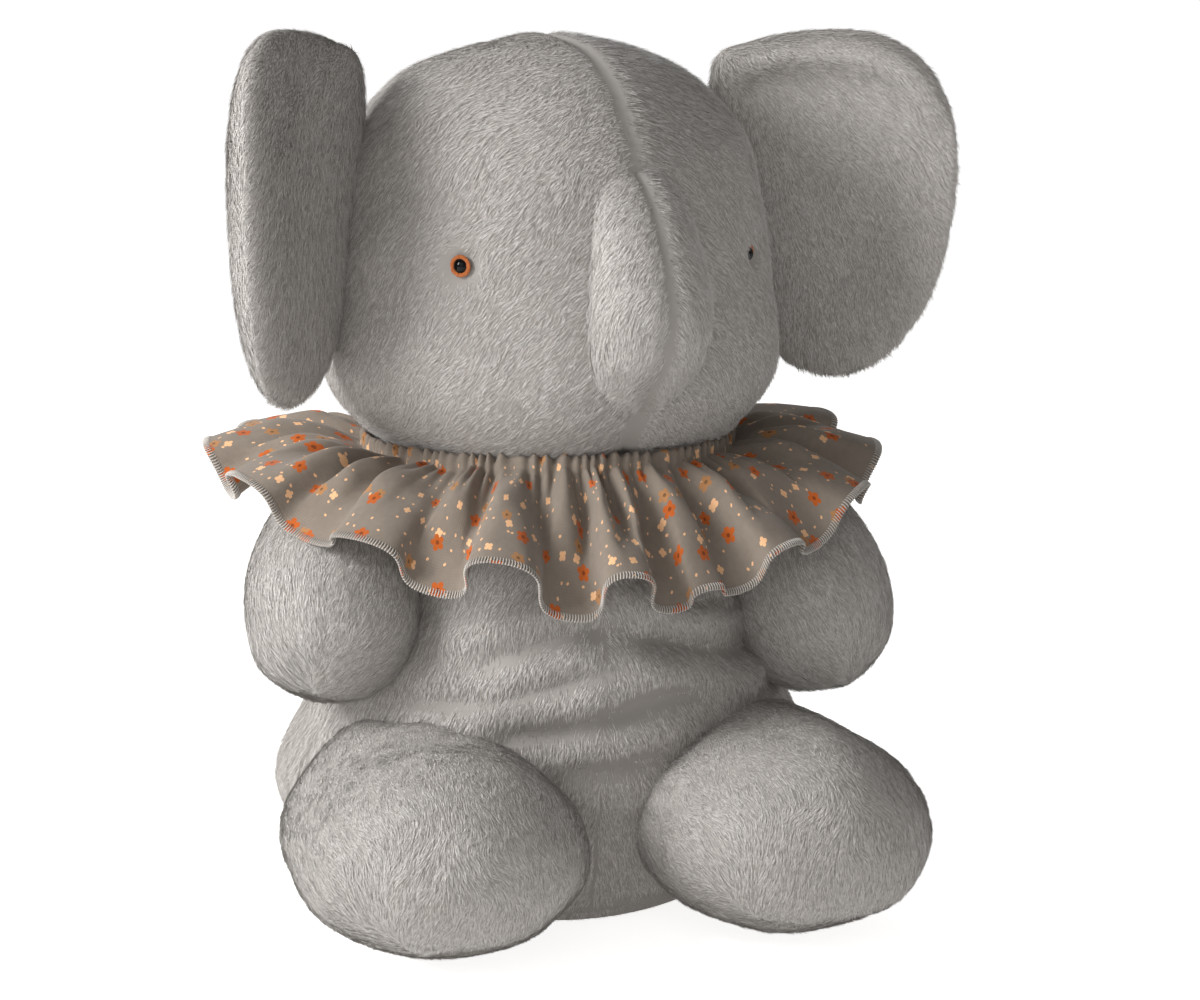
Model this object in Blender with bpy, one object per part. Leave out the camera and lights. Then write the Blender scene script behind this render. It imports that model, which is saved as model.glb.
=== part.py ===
"""Seated plush elephant in long soft fur, with a stubby trunk, wide floppy ears and a gathered ruffle collar.

Frame: +Z up, the elephant faces -Y, its left side is +X. The origin is on the floor under the body.
Every limb is a fur shell of sewn halves over a core of fibre filling. Lengths ending in _MM are in
millimetres, and everything is built in metres. A table of rings runs from one pole to the other.
"""

import math

import bmesh
import bpy
from mathutils import Matrix, Vector

MM = 0.001
GAP = 0.3 * MM
FUR = 4.0 * MM  # backing cloth with the lower half of its pile
SLACK = 1.0 * MM  # between the filling and the cloth round it
CORE_INSET = FUR + SLACK
BIG = 1.4

NECK_AXIS = Vector((0.0, 0.004, 0.256))
HEAD_HOME = Vector((0.0, 0.0, 0.256))
HEAD_TURN = math.radians(10)
NECK_BALL_RADIUS = 0.032
NECK_BASE_RADIUS = 0.050
NECK_OPENING_RADIUS = 0.060
TORSO_TOP = 0.240

# Sewn on by hand, so the two eyes aren't quite at the same turn.
EYES = {"left": Vector((0.0745, -0.0812, 0.345)), "right": Vector((-0.0785, -0.0775, 0.345))}
EYE_SEAT_RADIUS = 0.1125
EYE_CAP_RADIUS = 3.7 * MM
EYE_RING_RADIUS = 6.0 * MM
EYE_POST_RADIUS = 1.5 * MM

TRUNK_HINGE = Vector((0.0, -0.111, 0.392))
EAR_HINGE = Vector((0.105, 0.005, 0.412))
EAR_FLARE = math.radians(46)
EAR_HALF_THICKNESS = 0.015
EAR_CUP = 0.012

SHOULDER = Vector((0.112, -0.002, 0.204))
ARM_TOP = Vector((0.114, -0.002, 0.224))
ARM_END = Vector((0.134, -0.078, 0.130))
HIPS = {"left": Vector((0.084, -0.035, 0.064)), "right": Vector((-0.088, -0.035, 0.064))}
# The left leg is splayed a little, the right one points straight ahead.
LEG_ENDS = {"left": Vector((0.107, -0.191, 0.0635)), "right": Vector((-0.081, -0.193, 0.0635))}
LEG_LIFTS = (0, 2, 4)
LEG_ROOM = 2.0 * MM

COLLAR_CENTRE = Vector((0.0, 0.004, 0.0))
COLLAR_WAVES = 20
COLLAR_THICKNESS = 2.4 * MM
ELASTIC_RADIUS = 0.0925

TAIL_ROOT = Vector((0.0, 0.1290, 0.078))

SPLIT_Y = -0.020  # the torso's side seams, so that the flat under its back half holds the origin

# Rings of a form: (place along it, half width, front, back), each row one ring.
TORSO_RINGS_MM = (
    (0, 0, 10, 10),
    (0, 66, -66, 86),
    (18, 110, -86, 113),
    (62, 137, -97, 122),
    (112, 112, -107, 116),
    (150, 84, -112, 104),
    (190, 79, -101, 92),
    (216, 82, -86, 86),
    (234, 74, -74, 76),
    (240, 60, -58, 62),
    (240, 0, 2, 2),
)
HEAD_RINGS_MM = (
    (244, 0, 0, 0),
    (247, 58, -56, 58),
    (260, 94, -92, 92),
    (290, 118, -116, 112),
    (330, 117, -117, 113),
    (370, 111, -113, 110),
    (405, 101, -103, 100),
    (433, 77, -79, 77),
    (449, 43, -45, 43),
    (455, 0, 0, 0),
)
TRUNK_RINGS_MM = (
    (394, 0, -114, -114),
    (386, 18, -123, -112),
    (370, 26, -136, -115),
    (340, 31, -148, -119),
    (310, 33, -152, -120),
    (285, 32, -147, -119),
    (270, 24, -135, -117),
    (264, 0, -125, -125),
)
TRUNK_CORE_RINGS_MM = (
    (376, 0, -123, -123),
    (370, 13, -128, -121),
    (358, 21, -135, -122.5),
    (340, 25, -142, -124.5),
    (310, 27, -146, -125.5),
    (287, 26, -141, -125),
    (277, 18, -134, -124.5),
    (273, 0, -129, -129),
)
# Rings of a limb: (distance along its axis, half width, half height).
ARM_RINGS_MM = ((0, 0, 0), (10, 21, 22), (34, 35, 38), (70, 43, 46), (98, 40, 44), (117, 27, 30), (128, 0, 0))
LEG_RINGS_MM = (
    (-56, 0, 0),
    (-40, 39, 39),
    (0, 56, 56),
    (42, 60, 59),
    (82, 62, 61),
    (112, 60, 58),
    (136, 47, 45),
    (149, 27, 26),
    (154, 0, 0),
)
TAIL_RINGS_MM = ((0, 0, 0), (5, 6, 6), (34, 5.5, 5.5), (52, 7, 7), (64, 5, 5), (68, 0, 0))
BEAD_BAG_RINGS_MM = ((6, 0, 38, 38), (6, 34, 4, 68), (22, 46, -4, 76), (44, 32, 12, 62), (52, 0, 36, 36))
# The ear's edge: (distance out from its hinge, height above the floor), round from its top inner corner.
EAR_EDGE_MM = (
    (-5, 434),
    (18, 445),
    (54, 452),
    (92, 452),
    (117, 436),
    (128, 402),
    (126, 362),
    (115, 320),
    (92, 287),
    (64, 277),
    (44, 289),
    (34, 322),
    (20, 360),
    (4, 388),
)
EAR_CENTRE_MM = (76, 370)

COLOURS = {
    "fur": (0.36, 0.34, 0.33, 1, 0.95),
    "filling": (0.86, 0.85, 0.82, 1, 0.9),
    "beads": (0.72, 0.70, 0.66, 1, 0.7),
    "black_plastic": (0.012, 0.012, 0.014, 1, 0.12),
    "clear_plastic": (0.62, 0.62, 0.60, 1, 0.4),
    "ring": (0.34, 0.12, 0.035, 1, 0.7),
    "print": (0.28, 0.22, 0.19, 1, 0.85),
    "elastic": (0.7, 0.69, 0.66, 1, 0.7),
}


def material(slot):
    """The plain finish of one material slot."""
    found = bpy.data.materials.get(slot)
    if found:
        return found
    made = bpy.data.materials.new(slot)
    made.use_nodes = True
    shader = made.node_tree.nodes["Principled BSDF"]
    *colour, roughness = COLOURS[slot]
    shader.inputs["Base Color"].default_value = colour
    shader.inputs["Roughness"].default_value = roughness
    shader.inputs["Metallic"].default_value = 0.0
    made.diffuse_color = colour
    return made


def pivot(name, home, location=None, parent=None, turn=0.0):
    """An empty on a joint's axis. home is its place in the frame that its pieces are drawn in."""
    empty = bpy.data.objects.new(name, None)
    bpy.context.scene.collection.objects.link(empty)
    empty["home"] = tuple(home)
    empty.location = home if location is None else location
    if parent:
        empty.parent = parent
        empty.location = home - Vector(parent["home"])
    empty.rotation_euler.z = turn
    return empty


def piece(name, mesh, slot, on=None):
    """A sub-part in its own object, drawn in the frame of the pivot that carries it."""
    made = bpy.data.objects.new(name, mesh)
    bpy.context.scene.collection.objects.link(made)
    mesh.name = name
    mesh.materials.clear()
    mesh.materials.append(material(slot))
    mesh.shade_smooth()
    if on:
        mesh.transform(Matrix.Translation(-Vector(on["home"])))
        made.parent = on
    return made


def cutter(name, mesh, on=None):
    """A helper that only cuts, left out of the object."""
    made = piece(name, mesh, "filling", on)
    made.hide_render = True
    made.display_type = "WIRE"
    return made


def boolean(target, tool, operation="DIFFERENCE"):
    """Cuts with the manifold solver: the exact one drops whole panels where a seam runs along a row of points."""
    change = target.modifiers.new(tool.name, "BOOLEAN")
    change.operation = operation
    change.solver = "MANIFOLD"
    change.object = tool


def closed_mesh(name, rings):
    """A closed skin over a run of rings, each a list of points. The first and last rings are single points."""
    shape = bmesh.new()
    loops = [[shape.verts.new(point) for point in ring] for ring in rings]
    for low, high in zip(loops, loops[1:]):
        count = max(len(low), len(high))
        for i in range(count):
            j = (i + 1) % count
            corners = (low[i % len(low)], low[j % len(low)], high[j % len(high)], high[i % len(high)])
            shape.faces.new(dict.fromkeys(corners))
    bmesh.ops.recalc_face_normals(shape, faces=shape.faces)
    mesh = bpy.data.meshes.new(name)
    shape.to_mesh(mesh)
    shape.free()
    return mesh


def between(before, start, end, after, t):
    """A point of the smooth curve that passes through rows of numbers, from start at t = 0 to end at t = 1."""
    found = []
    for a, b, c, d in zip(before, start, end, after):
        found.append(0.5 * (2 * b + (c - a) * t + (2 * a - 5 * b + 4 * c - d) * t**2 + (3 * b - a - 3 * c + d) * t**3))
    return found


def smooth_rows(rows, steps, mirrored):
    """Rows of (along, values...) with steps - 1 more between each two, rounded over at both poles.

    mirrored gives the row that lies past a pole: the same place along, with its sizes turned over."""
    run = [mirrored(rows[0], rows[1]), *rows, mirrored(rows[-1], rows[-2])]
    found = []
    for k in range(1, len(run) - 2):
        found += [between(*run[k - 1 : k + 3], i / steps) for i in range(steps)]
    return [*found, list(rows[-1])]


def upright_rings(rows_mm, sides, steps, lowest=None):
    """Level rings, as in a torso, head or trunk, from rows of (height, half width, front, back)."""

    def past_pole(pole, row):
        return row[0], -row[1], pole[2] + pole[3] - row[3 if pole[2] == pole[3] else 2], pole[2] + pole[3] - row[2]

    rings = []
    for height, half_width, front, back in smooth_rows(rows_mm, steps, past_pole):
        middle = (front + back) / 2
        half_depth = (back - front) / 2
        level = height if lowest is None else min(max(height, lowest[0]), lowest[1])
        if half_width < 0.5:
            rings.append([Vector((0, middle, level)) * MM])
            continue
        turns = [2 * math.pi * i / sides for i in range(sides)]
        rings.append(
            [Vector((half_width * math.cos(a), middle + half_depth * math.sin(a), level)) * MM for a in turns]
        )
    return rings


def limb_rings(rows_mm, start, end, sides, steps, grow=0.0):
    """Rings square to a limb's axis, from rows of (along, half width, half height)."""
    along = (end - start).normalized()
    across = along.cross(Vector((0, 0, 1)) if abs(along.z) < 0.9 else Vector((0, 1, 0))).normalized()
    upward = across.cross(along).normalized()

    def past_pole(_pole, row):
        return row[0], -row[1], -row[2]

    rings = []
    for place, half_width, half_height in smooth_rows(rows_mm, steps, past_pole):
        centre = start + along * (place * MM)
        if half_width < 0.5:
            rings.append([centre + along * math.copysign(grow, place - rows_mm[1][0])])
            continue
        turns = [2 * math.pi * i / sides for i in range(sides)]
        rings.append(
            [
                centre
                + across * ((half_width * MM + grow) * math.cos(a))
                + upward * ((half_height * MM + grow) * math.sin(a))
                for a in turns
            ]
        )
    return rings


def inset(mesh, distance):
    """A copy of a closed mesh, drawn in along its normals."""
    shape = bmesh.new()
    shape.from_mesh(mesh)
    shape.normal_update()
    places = [vertex.co - vertex.normal * distance for vertex in shape.verts]
    for vertex, place in zip(shape.verts, places):
        vertex.co = place
    smaller = bpy.data.meshes.new(mesh.name + "_inset")
    shape.to_mesh(smaller)
    shape.free()
    return smaller


def half_space(point, normal):
    """A large block whose one face passes through point, with the block on the side that normal points to."""
    shape = bmesh.new()
    bmesh.ops.create_cube(shape, size=BIG)
    turn = Vector((0, 0, 1)).rotation_difference(normal).to_matrix().to_4x4()
    place = Matrix.Translation(point) @ turn @ Matrix.Translation((0, 0, BIG / 2))
    bmesh.ops.transform(shape, matrix=place, verts=shape.verts)
    mesh = bpy.data.meshes.new("half_space")
    shape.to_mesh(mesh)
    shape.free()
    return mesh


def turned(name, profile, sides, place=None):
    """A solid turned about +Z from a profile of (radius, height), spun and welded into one skin."""
    shape = bmesh.new()
    points = [shape.verts.new((radius, 0, height)) for radius, height in profile]
    ring = profile[0][0] > 0
    pairs = list(zip(points, points[1:])) + ([(points[-1], points[0])] if ring else [])
    edges = [shape.edges.new(pair) for pair in pairs]
    bmesh.ops.spin(
        shape, geom=points + edges, cent=(0, 0, 0), axis=(0, 0, 1), angle=2 * math.pi, steps=sides, use_merge=True
    )
    bmesh.ops.remove_doubles(shape, verts=shape.verts, dist=1e-6)
    bmesh.ops.recalc_face_normals(shape, faces=shape.faces)
    if place:
        bmesh.ops.transform(shape, matrix=place, verts=shape.verts)
    mesh = bpy.data.meshes.new(name)
    shape.to_mesh(mesh)
    shape.free()
    return mesh


def fur_halves(names, form, split_at, split_normal, on, cutters=(), own_cutters=None, core=None):
    """Two sewn fur panels and the filling inside them, from one closed form. core is the filling's own form."""
    hollow = cutter(names[2] + "_space", inset(form, FUR), on)
    for name, side in zip(names[:2], (1, -1)):
        normal = split_normal * side
        block = cutter(name + "_side", half_space(split_at + normal * (GAP / 2), normal), on)
        panel = piece(name, form.copy(), "fur", on)
        boolean(panel, block, "INTERSECT")
        boolean(panel, hollow)
        for tool in [*cutters, *(own_cutters or {}).get(name, [])]:
            boolean(panel, tool)
    filling = piece(names[2], core or inset(form, CORE_INSET), "filling", on)
    for tool in [*cutters, *(own_cutters or {}).get(names[2], [])]:
        boolean(filling, tool)


def mirrored_point(point, side):
    return Vector((point.x * side, point.y, point.z))


def neck_room(on):
    """The space in the head's underside that the neck ball turns and nods in."""
    ball = bmesh.new()
    bmesh.ops.create_uvsphere(ball, u_segments=16, v_segments=10, radius=NECK_BALL_RADIUS + 1.6 * MM)
    bmesh.ops.translate(ball, verts=ball.verts, vec=HEAD_HOME)
    ball_mesh = bpy.data.meshes.new("neck_ball_space")
    ball.to_mesh(ball_mesh)
    ball.free()
    opening = turned(
        "neck_opening",
        [(0, 0.225), (NECK_OPENING_RADIUS, 0.225), (NECK_OPENING_RADIUS, 0.250), (0, 0.250)],
        24,
    )
    return [cutter("neck_ball_space", ball_mesh, on), cutter("neck_opening", opening, on)]


def build_neck(on):
    """The firm roll of filling at the neck: flat where it turns on the torso, a ball where the head nods."""
    centre = NECK_AXIS.z
    low = TORSO_TOP + GAP
    profile = [(0, low), (NECK_BASE_RADIUS, low), (NECK_BASE_RADIUS, low + 1 * MM)]
    for k in range(8):
        rise = math.radians(-20 + 110 * k / 7)
        reach = NECK_BALL_RADIUS * math.cos(rise) if k < 7 else 0
        profile.append((reach, centre + NECK_BALL_RADIUS * math.sin(rise)))
    place = Matrix.Translation((NECK_AXIS.x, NECK_AXIS.y, 0))
    piece("neck_filling", turned("neck_filling", profile, 24, place), "filling", on)


def leg_sweep(word):
    """The space that a leg takes as it lifts: one convex body round the leg at rest, half up and fully up."""
    hip, end = HIPS[word], LEG_ENDS[word]
    shape = bmesh.new()
    for lift in LEG_LIFTS:
        turn = Matrix.Translation(hip) @ Matrix.Rotation(-math.radians(lift), 4, "X") @ Matrix.Translation(-hip)
        for ring in limb_rings(LEG_RINGS_MM, hip, end, 16, 2, LEG_ROOM):
            for point in ring:
                shape.verts.new(turn @ point)
    hull = bmesh.ops.convex_hull(shape, input=shape.verts)
    bmesh.ops.delete(shape, geom=hull["geom_interior"], context="VERTS")
    bmesh.ops.recalc_face_normals(shape, faces=shape.faces)
    mesh = bpy.data.meshes.new("leg_sweep")
    shape.to_mesh(mesh)
    shape.free()
    return mesh


def build_torso():
    rings = upright_rings(TORSO_RINGS_MM, 20, 2, lowest=(0, 240))
    form = closed_mesh("torso", rings)
    room = [cutter(f"leg_{word}_room", leg_sweep(word)) for word in HIPS]
    bag_rings = upright_rings(BEAD_BAG_RINGS_MM, 12, 2, lowest=(6, 52))
    bag = closed_mesh("bead_bag", bag_rings)
    pocket = inset(bag, -SLACK)
    pocket.transform(Matrix.Translation((0, 0, -2 * MM)) @ Matrix.Diagonal((1, 1, 1.08, 1)))
    names = ("torso_back_panel", "torso_front_panel", "torso_filling")
    own = {"torso_filling": [cutter("bead_bag_pocket", pocket)]}
    fur_halves(names, form, Vector((0, SPLIT_Y, 0)), Vector((0, 1, 0)), None, room, own)
    piece("bead_bag", bag, "beads")


def eye_frame(word):
    """The eye's own axis, straight out from the head's axis."""
    at = EYES[word]
    outward = Vector((at.x, at.y, 0)).normalized()
    turn = Vector((0, 0, 1)).rotation_difference(outward).to_matrix().to_4x4()
    return Matrix.Translation(outward * EYE_SEAT_RADIUS + Vector((0, 0, at.z))) @ turn


def eye_room(word, on):
    """The dimple in the fur, the hole for the post and the pocket behind for the washer."""
    place = eye_frame(word)
    seat = turned("seat", [(0, 0), (7 * MM, 0), (7 * MM, 20 * MM), (0, 20 * MM)], 20, place)
    hole = turned("hole", [(0, -9 * MM), (1.9 * MM, -9 * MM), (1.9 * MM, 2 * MM), (0, 2 * MM)], 12, place)
    pocket = turned("pocket", [(0, -13 * MM), (7 * MM, -13 * MM), (7 * MM, 8 * MM), (0, 8 * MM)], 20, place)
    dimple = cutter(f"eye_{word}_dimple", seat, on)
    return [dimple, cutter(f"eye_{word}_hole", hole, on)], [cutter(f"eye_{word}_pocket", pocket, on)]


def build_eye(word, on):
    place = eye_frame(word)
    cap = [(0, -11 * MM), (EYE_POST_RADIUS, -11 * MM), (EYE_POST_RADIUS, GAP), (EYE_CAP_RADIUS, GAP)]
    dome_height = 3.4 * MM
    for k in range(6):
        rise = math.radians(18 * k)
        reach = EYE_CAP_RADIUS * math.cos(rise) if k < 5 else 0
        cap.append((reach, 1.0 * MM + dome_height * math.sin(rise)))
    piece(f"eye_{word}_cap", turned("cap", cap, 20, place), "black_plastic", on)
    inner = EYE_CAP_RADIUS + GAP
    middle = (inner + EYE_RING_RADIUS) / 2
    half = (EYE_RING_RADIUS - inner) / 2
    ring = [
        (middle + half * math.cos(math.pi * k / 4), 1.3 * MM + 1.0 * MM * math.sin(math.pi * k / 4)) for k in range(8)
    ]
    piece(f"eye_{word}_ring", turned("ring", ring, 20, place), "ring", on)
    low, high, bore = -6.6 * MM, -5.2 * MM, EYE_POST_RADIUS + GAP
    washer = [(bore, low), (6 * MM, low), (6 * MM, high), (bore, high)]
    piece(f"eye_{word}_washer", turned("washer", washer, 16, place), "clear_plastic", on)


def build_head(on):
    form = closed_mesh("head", upright_rings(HEAD_RINGS_MM, 20, 2))
    own = {"head_filling": []}
    for word in EYES:
        through, behind = eye_room(word, on)
        own[f"head_{word}_panel"] = through
        own["head_filling"] += behind
        build_eye(word, on)
    names = ("head_left_panel", "head_right_panel", "head_filling")
    fur_halves(names, form, Vector((0, 0, 0)), Vector((1, 0, 0)), on, neck_room(on), own)


def build_trunk(on):
    form = closed_mesh("trunk", upright_rings(TRUNK_RINGS_MM, 12, 2))
    core = closed_mesh("trunk_core", upright_rings(TRUNK_CORE_RINGS_MM, 12, 1))
    names = ("trunk_left_panel", "trunk_right_panel", "trunk_filling")
    fur_halves(names, form, Vector((0, 0, 0)), Vector((1, 0, 0)), on, core=core)


def ear_edge(steps):
    """The ear's edge as one closed smooth curve, round its centre."""
    rows = EAR_EDGE_MM
    count = len(rows)
    found = []
    for k in range(count):
        run = [rows[(k + j) % count] for j in (-1, 0, 1, 2)]
        found += [between(*run, i / steps) for i in range(steps)]
    return [(out - EAR_CENTRE_MM[0], up - EAR_CENTRE_MM[1]) for out, up in found]


def ear_dome(edge, share_in, half_thickness, seam, facing):
    """Rings of one face of the ear, from its edge to its crown: full at the edge, a single point in the middle."""
    rings = []
    for k in range(4):
        rise = math.radians((0, 32, 60, 90)[k])
        share = share_in * math.cos(rise)
        depth = facing * (seam + (half_thickness - seam) * math.sin(rise))
        if k == 3:
            rings.append([(0.0, 0.0, depth)])
        else:
            rings.append([(x * MM * share, z * MM * share, depth) for x, z in edge])
    return rings


def ear_place(point, side):
    """From the flat ear to the cupped ear on the head: out along the flare, up, and forward of its own plane."""
    out = point[0] + EAR_CENTRE_MM[0] * MM
    up = point[1] + EAR_CENTRE_MM[1] * MM
    bow = (out - 0.065) / 0.070
    ahead = point[2] + EAR_CUP * (bow * bow - 1)
    out_way = Vector((math.cos(EAR_FLARE), -math.sin(EAR_FLARE), 0))
    ahead_way = Vector((-math.sin(EAR_FLARE), -math.cos(EAR_FLARE), 0))
    found = Vector((EAR_HINGE.x, EAR_HINGE.y, 0)) + out_way * out + ahead_way * ahead + Vector((0, 0, up))
    return mirrored_point(found, side)


def build_ear(side, word, on):
    """A soft padded flap: an inner and an outer fur panel sewn round the edge, with a thin layer of wadding."""
    edge = ear_edge(2)
    core_share = 1 - CORE_INSET / (60 * MM)
    inner_share = 1 - FUR / (60 * MM)
    core_half = EAR_HALF_THICKNESS - CORE_INSET
    front_core = ear_dome(edge, core_share, core_half, 0, 1)
    back_core = ear_dome(edge, core_share, core_half, 0, -1)
    forms = {"padding": front_core[::-1] + back_core[1:]}
    for facing, face in ((1, "front_panel"), (-1, "back_panel")):
        outer = ear_dome(edge, 1, EAR_HALF_THICKNESS, GAP / 2, facing)
        hollow = ear_dome(edge, inner_share, EAR_HALF_THICKNESS - FUR, GAP / 2, facing)
        forms[face] = outer[::-1] + hollow
    for face, rings in forms.items():
        placed = [[ear_place(point, side) for point in ring] for ring in rings]
        slot = "filling" if face == "padding" else "fur"
        piece(f"ear_{word}_{face}", closed_mesh(face, placed), slot, on)


def build_arm(side, word, on):
    top, end = mirrored_point(ARM_TOP, side), mirrored_point(ARM_END, side)
    form = closed_mesh("arm", limb_rings(ARM_RINGS_MM, top, end, 12, 2))
    names = (f"arm_{word}_outer_panel", f"arm_{word}_inner_panel", f"arm_{word}_filling")
    along = (end - top).normalized()
    outward = Vector((side, 0, 0))
    outward = (outward - along * outward.dot(along)).normalized()
    fur_halves(names, form, top, outward, on)


def build_leg(word, on):
    hip, end = HIPS[word], LEG_ENDS[word]
    form = closed_mesh("leg", limb_rings(LEG_RINGS_MM, hip, end, 16, 2))
    names = (f"leg_{word}_upper_panel", f"leg_{word}_lower_panel", f"leg_{word}_filling")
    fur_halves(names, form, hip, Vector((0, 0, 1)), on)


def collar_line(turn):
    """The ruffle's fall at one place round the neck: header, neckline, two places down and the hem, as
    (radius, height) in metres. It lies flat over the shoulders and falls steeply at the front."""
    side_share = math.sin(turn) ** 2
    hem_radius = 0.156 - 0.006 * math.cos(turn) + 0.020 * side_share
    hem_height = 0.202 - 0.016 * math.cos(turn) + 0.030 * side_share
    neck_radius, neck_height = 0.096, 0.240
    line = [(0.100, 0.2465), (neck_radius, neck_height)]
    for share in (0.34, 0.68, 1.0):
        bulge = 0.010 * math.sin(math.pi * share) * side_share
        line.append(
            (
                neck_radius + (hem_radius - neck_radius) * share,
                neck_height + (hem_height - neck_height) * share + bulge,
            )
        )
    return line


def build_collar(on):
    """One gathered ring of printed cloth, with soft waves that grow towards its hem, and the elastic inside."""
    sides = COLLAR_WAVES * 4
    wave_depths = (0.8 * MM, 0.5 * MM, 2.5 * MM, 4.5 * MM, 6.5 * MM)
    columns = []
    for i in range(sides):
        turn = 2 * math.pi * i / sides
        swing = math.cos(COLLAR_WAVES * turn)
        way = Vector((math.sin(turn), -math.cos(turn), 0))
        outer, inner = [], []
        for (radius, height), depth in zip(collar_line(turn), wave_depths):
            lean = Vector((way.x * 0.35, way.y * 0.35, 0.94))
            middle = COLLAR_CENTRE + way * radius + Vector((0, 0, height)) + lean * (depth * swing)
            outer.append(middle + lean * (COLLAR_THICKNESS / 2))
            inner.append(middle - lean * (COLLAR_THICKNESS / 2))
        columns.append(outer + inner[::-1])
    shape = bmesh.new()
    loops = [[shape.verts.new(point) for point in column] for column in columns]
    for here, after in zip(loops, loops[1:] + loops[:1]):
        for k in range(len(here)):
            n = (k + 1) % len(here)
            shape.faces.new((here[k], here[n], after[n], after[k]))
    bmesh.ops.recalc_face_normals(shape, faces=shape.faces)
    mesh = bpy.data.meshes.new("collar_ruffle")
    shape.to_mesh(mesh)
    shape.free()
    piece("collar_ruffle", mesh, "print", on)
    low, high = 0.2375, 0.2425
    band = [
        (ELASTIC_RADIUS, low),
        (ELASTIC_RADIUS + 1.2 * MM, low),
        (ELASTIC_RADIUS + 1.2 * MM, high),
        (ELASTIC_RADIUS, high),
    ]
    place = Matrix.Translation(COLLAR_CENTRE)
    piece("collar_elastic", turned("collar_elastic", band, 40, place), "elastic", on)


def build_tail(on):
    """A short cord of fur that hangs behind, a little fuller at its end."""
    end = TAIL_ROOT + Vector((0, 0.30, -1)) * 0.05
    rings = limb_rings(TAIL_RINGS_MM, TAIL_ROOT, end, 10, 2)
    piece("tail", closed_mesh("tail", rings), "fur", on)


def main():
    for old in list(bpy.data.objects):
        bpy.data.objects.remove(old, do_unlink=True)
    build_torso()
    neck_pivot = pivot("neck_pivot", NECK_AXIS)
    build_neck(neck_pivot)
    head_pivot = pivot("head_pivot", HEAD_HOME, NECK_AXIS, turn=HEAD_TURN)
    build_head(head_pivot)
    build_trunk(pivot("trunk_pivot", TRUNK_HINGE, parent=head_pivot))
    for side, word in ((1, "left"), (-1, "right")):
        build_ear(side, word, pivot(f"ear_{word}_pivot", mirrored_point(EAR_HINGE, side), parent=head_pivot))
        build_arm(side, word, pivot(f"arm_{word}_pivot", mirrored_point(SHOULDER, side)))
        build_leg(word, pivot(f"leg_{word}_pivot", HIPS[word]))
    build_collar(pivot("collar_pivot", NECK_AXIS))
    build_tail(pivot("tail_pivot", TAIL_ROOT))


main()
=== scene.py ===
"""A seated plush elephant: panels of long grey faux fur with real pile, button eyes with rust rings, and a
gathered collar of printed cotton with an overlocked hem, on a pale studio floor."""

import math

import bmesh
import bpy
import numpy as np
from mathutils import Matrix, Vector


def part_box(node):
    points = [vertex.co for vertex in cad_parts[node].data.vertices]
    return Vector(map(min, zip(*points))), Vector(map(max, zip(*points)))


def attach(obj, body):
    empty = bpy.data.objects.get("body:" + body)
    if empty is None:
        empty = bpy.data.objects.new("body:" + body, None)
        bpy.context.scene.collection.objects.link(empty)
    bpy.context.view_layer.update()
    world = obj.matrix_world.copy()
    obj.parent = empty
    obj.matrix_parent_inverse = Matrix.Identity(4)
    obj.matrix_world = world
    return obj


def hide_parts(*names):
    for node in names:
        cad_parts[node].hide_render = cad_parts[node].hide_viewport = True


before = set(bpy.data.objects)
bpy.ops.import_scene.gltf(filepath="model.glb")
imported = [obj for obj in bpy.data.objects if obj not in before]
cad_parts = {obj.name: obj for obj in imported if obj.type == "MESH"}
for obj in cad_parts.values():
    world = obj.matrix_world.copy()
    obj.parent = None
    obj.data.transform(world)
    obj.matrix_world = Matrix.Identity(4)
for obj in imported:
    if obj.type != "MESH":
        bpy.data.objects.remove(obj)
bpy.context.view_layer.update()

bl_info = {
    "name": "Stuffed Elephant",
    "version": (1, 0, 0),
    "blender": (4, 5, 0),
    "location": "3D View > Sidebar > Elephant",
    "description": "Builds a plush elephant in long fur, with its collar, on the packed frame",
    "category": "Object",
}

MM = 0.001

# The head's own frame: turned a little to the elephant's left about the neck.
HEAD_TURN = math.radians(10)
HEAD_OFFSET = np.array([0.0, 0.004, 0.0])
HEAD_AXES = np.array(
    [
        [math.cos(HEAD_TURN), -math.sin(HEAD_TURN), 0.0],
        [math.sin(HEAD_TURN), math.cos(HEAD_TURN), 0.0],
        [0.0, 0.0, 1.0],
    ]
)
ARM_TOP = np.array([0.114, -0.002, 0.224])
ARM_END = np.array([0.134, -0.078, 0.130])
HIPS = {"left": np.array([0.084, -0.035, 0.064]), "right": np.array([-0.088, -0.035, 0.064])}
LEG_ENDS = {"left": np.array([0.107, -0.191, 0.0635]), "right": np.array([-0.081, -0.193, 0.0635])}
EAR_HINGE = np.array([0.105, 0.005, 0.0])
EAR_FLARE = math.radians(46)
EAR_CUP = 0.012
TAIL_ROOT = np.array([0.0, 0.129, 0.078])
COLLAR_CENTRE = np.array([0.0, 0.004, 0.0])
SIDE_SEAM_Y = -0.020
SEAM_GAP = 0.0022  # how far from a seam its pile is shorter
LOWEST_SKIN = 0.0006  # above the floor, so that no cloth lies in it
FLOOR_REACH = 60.0

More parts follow.
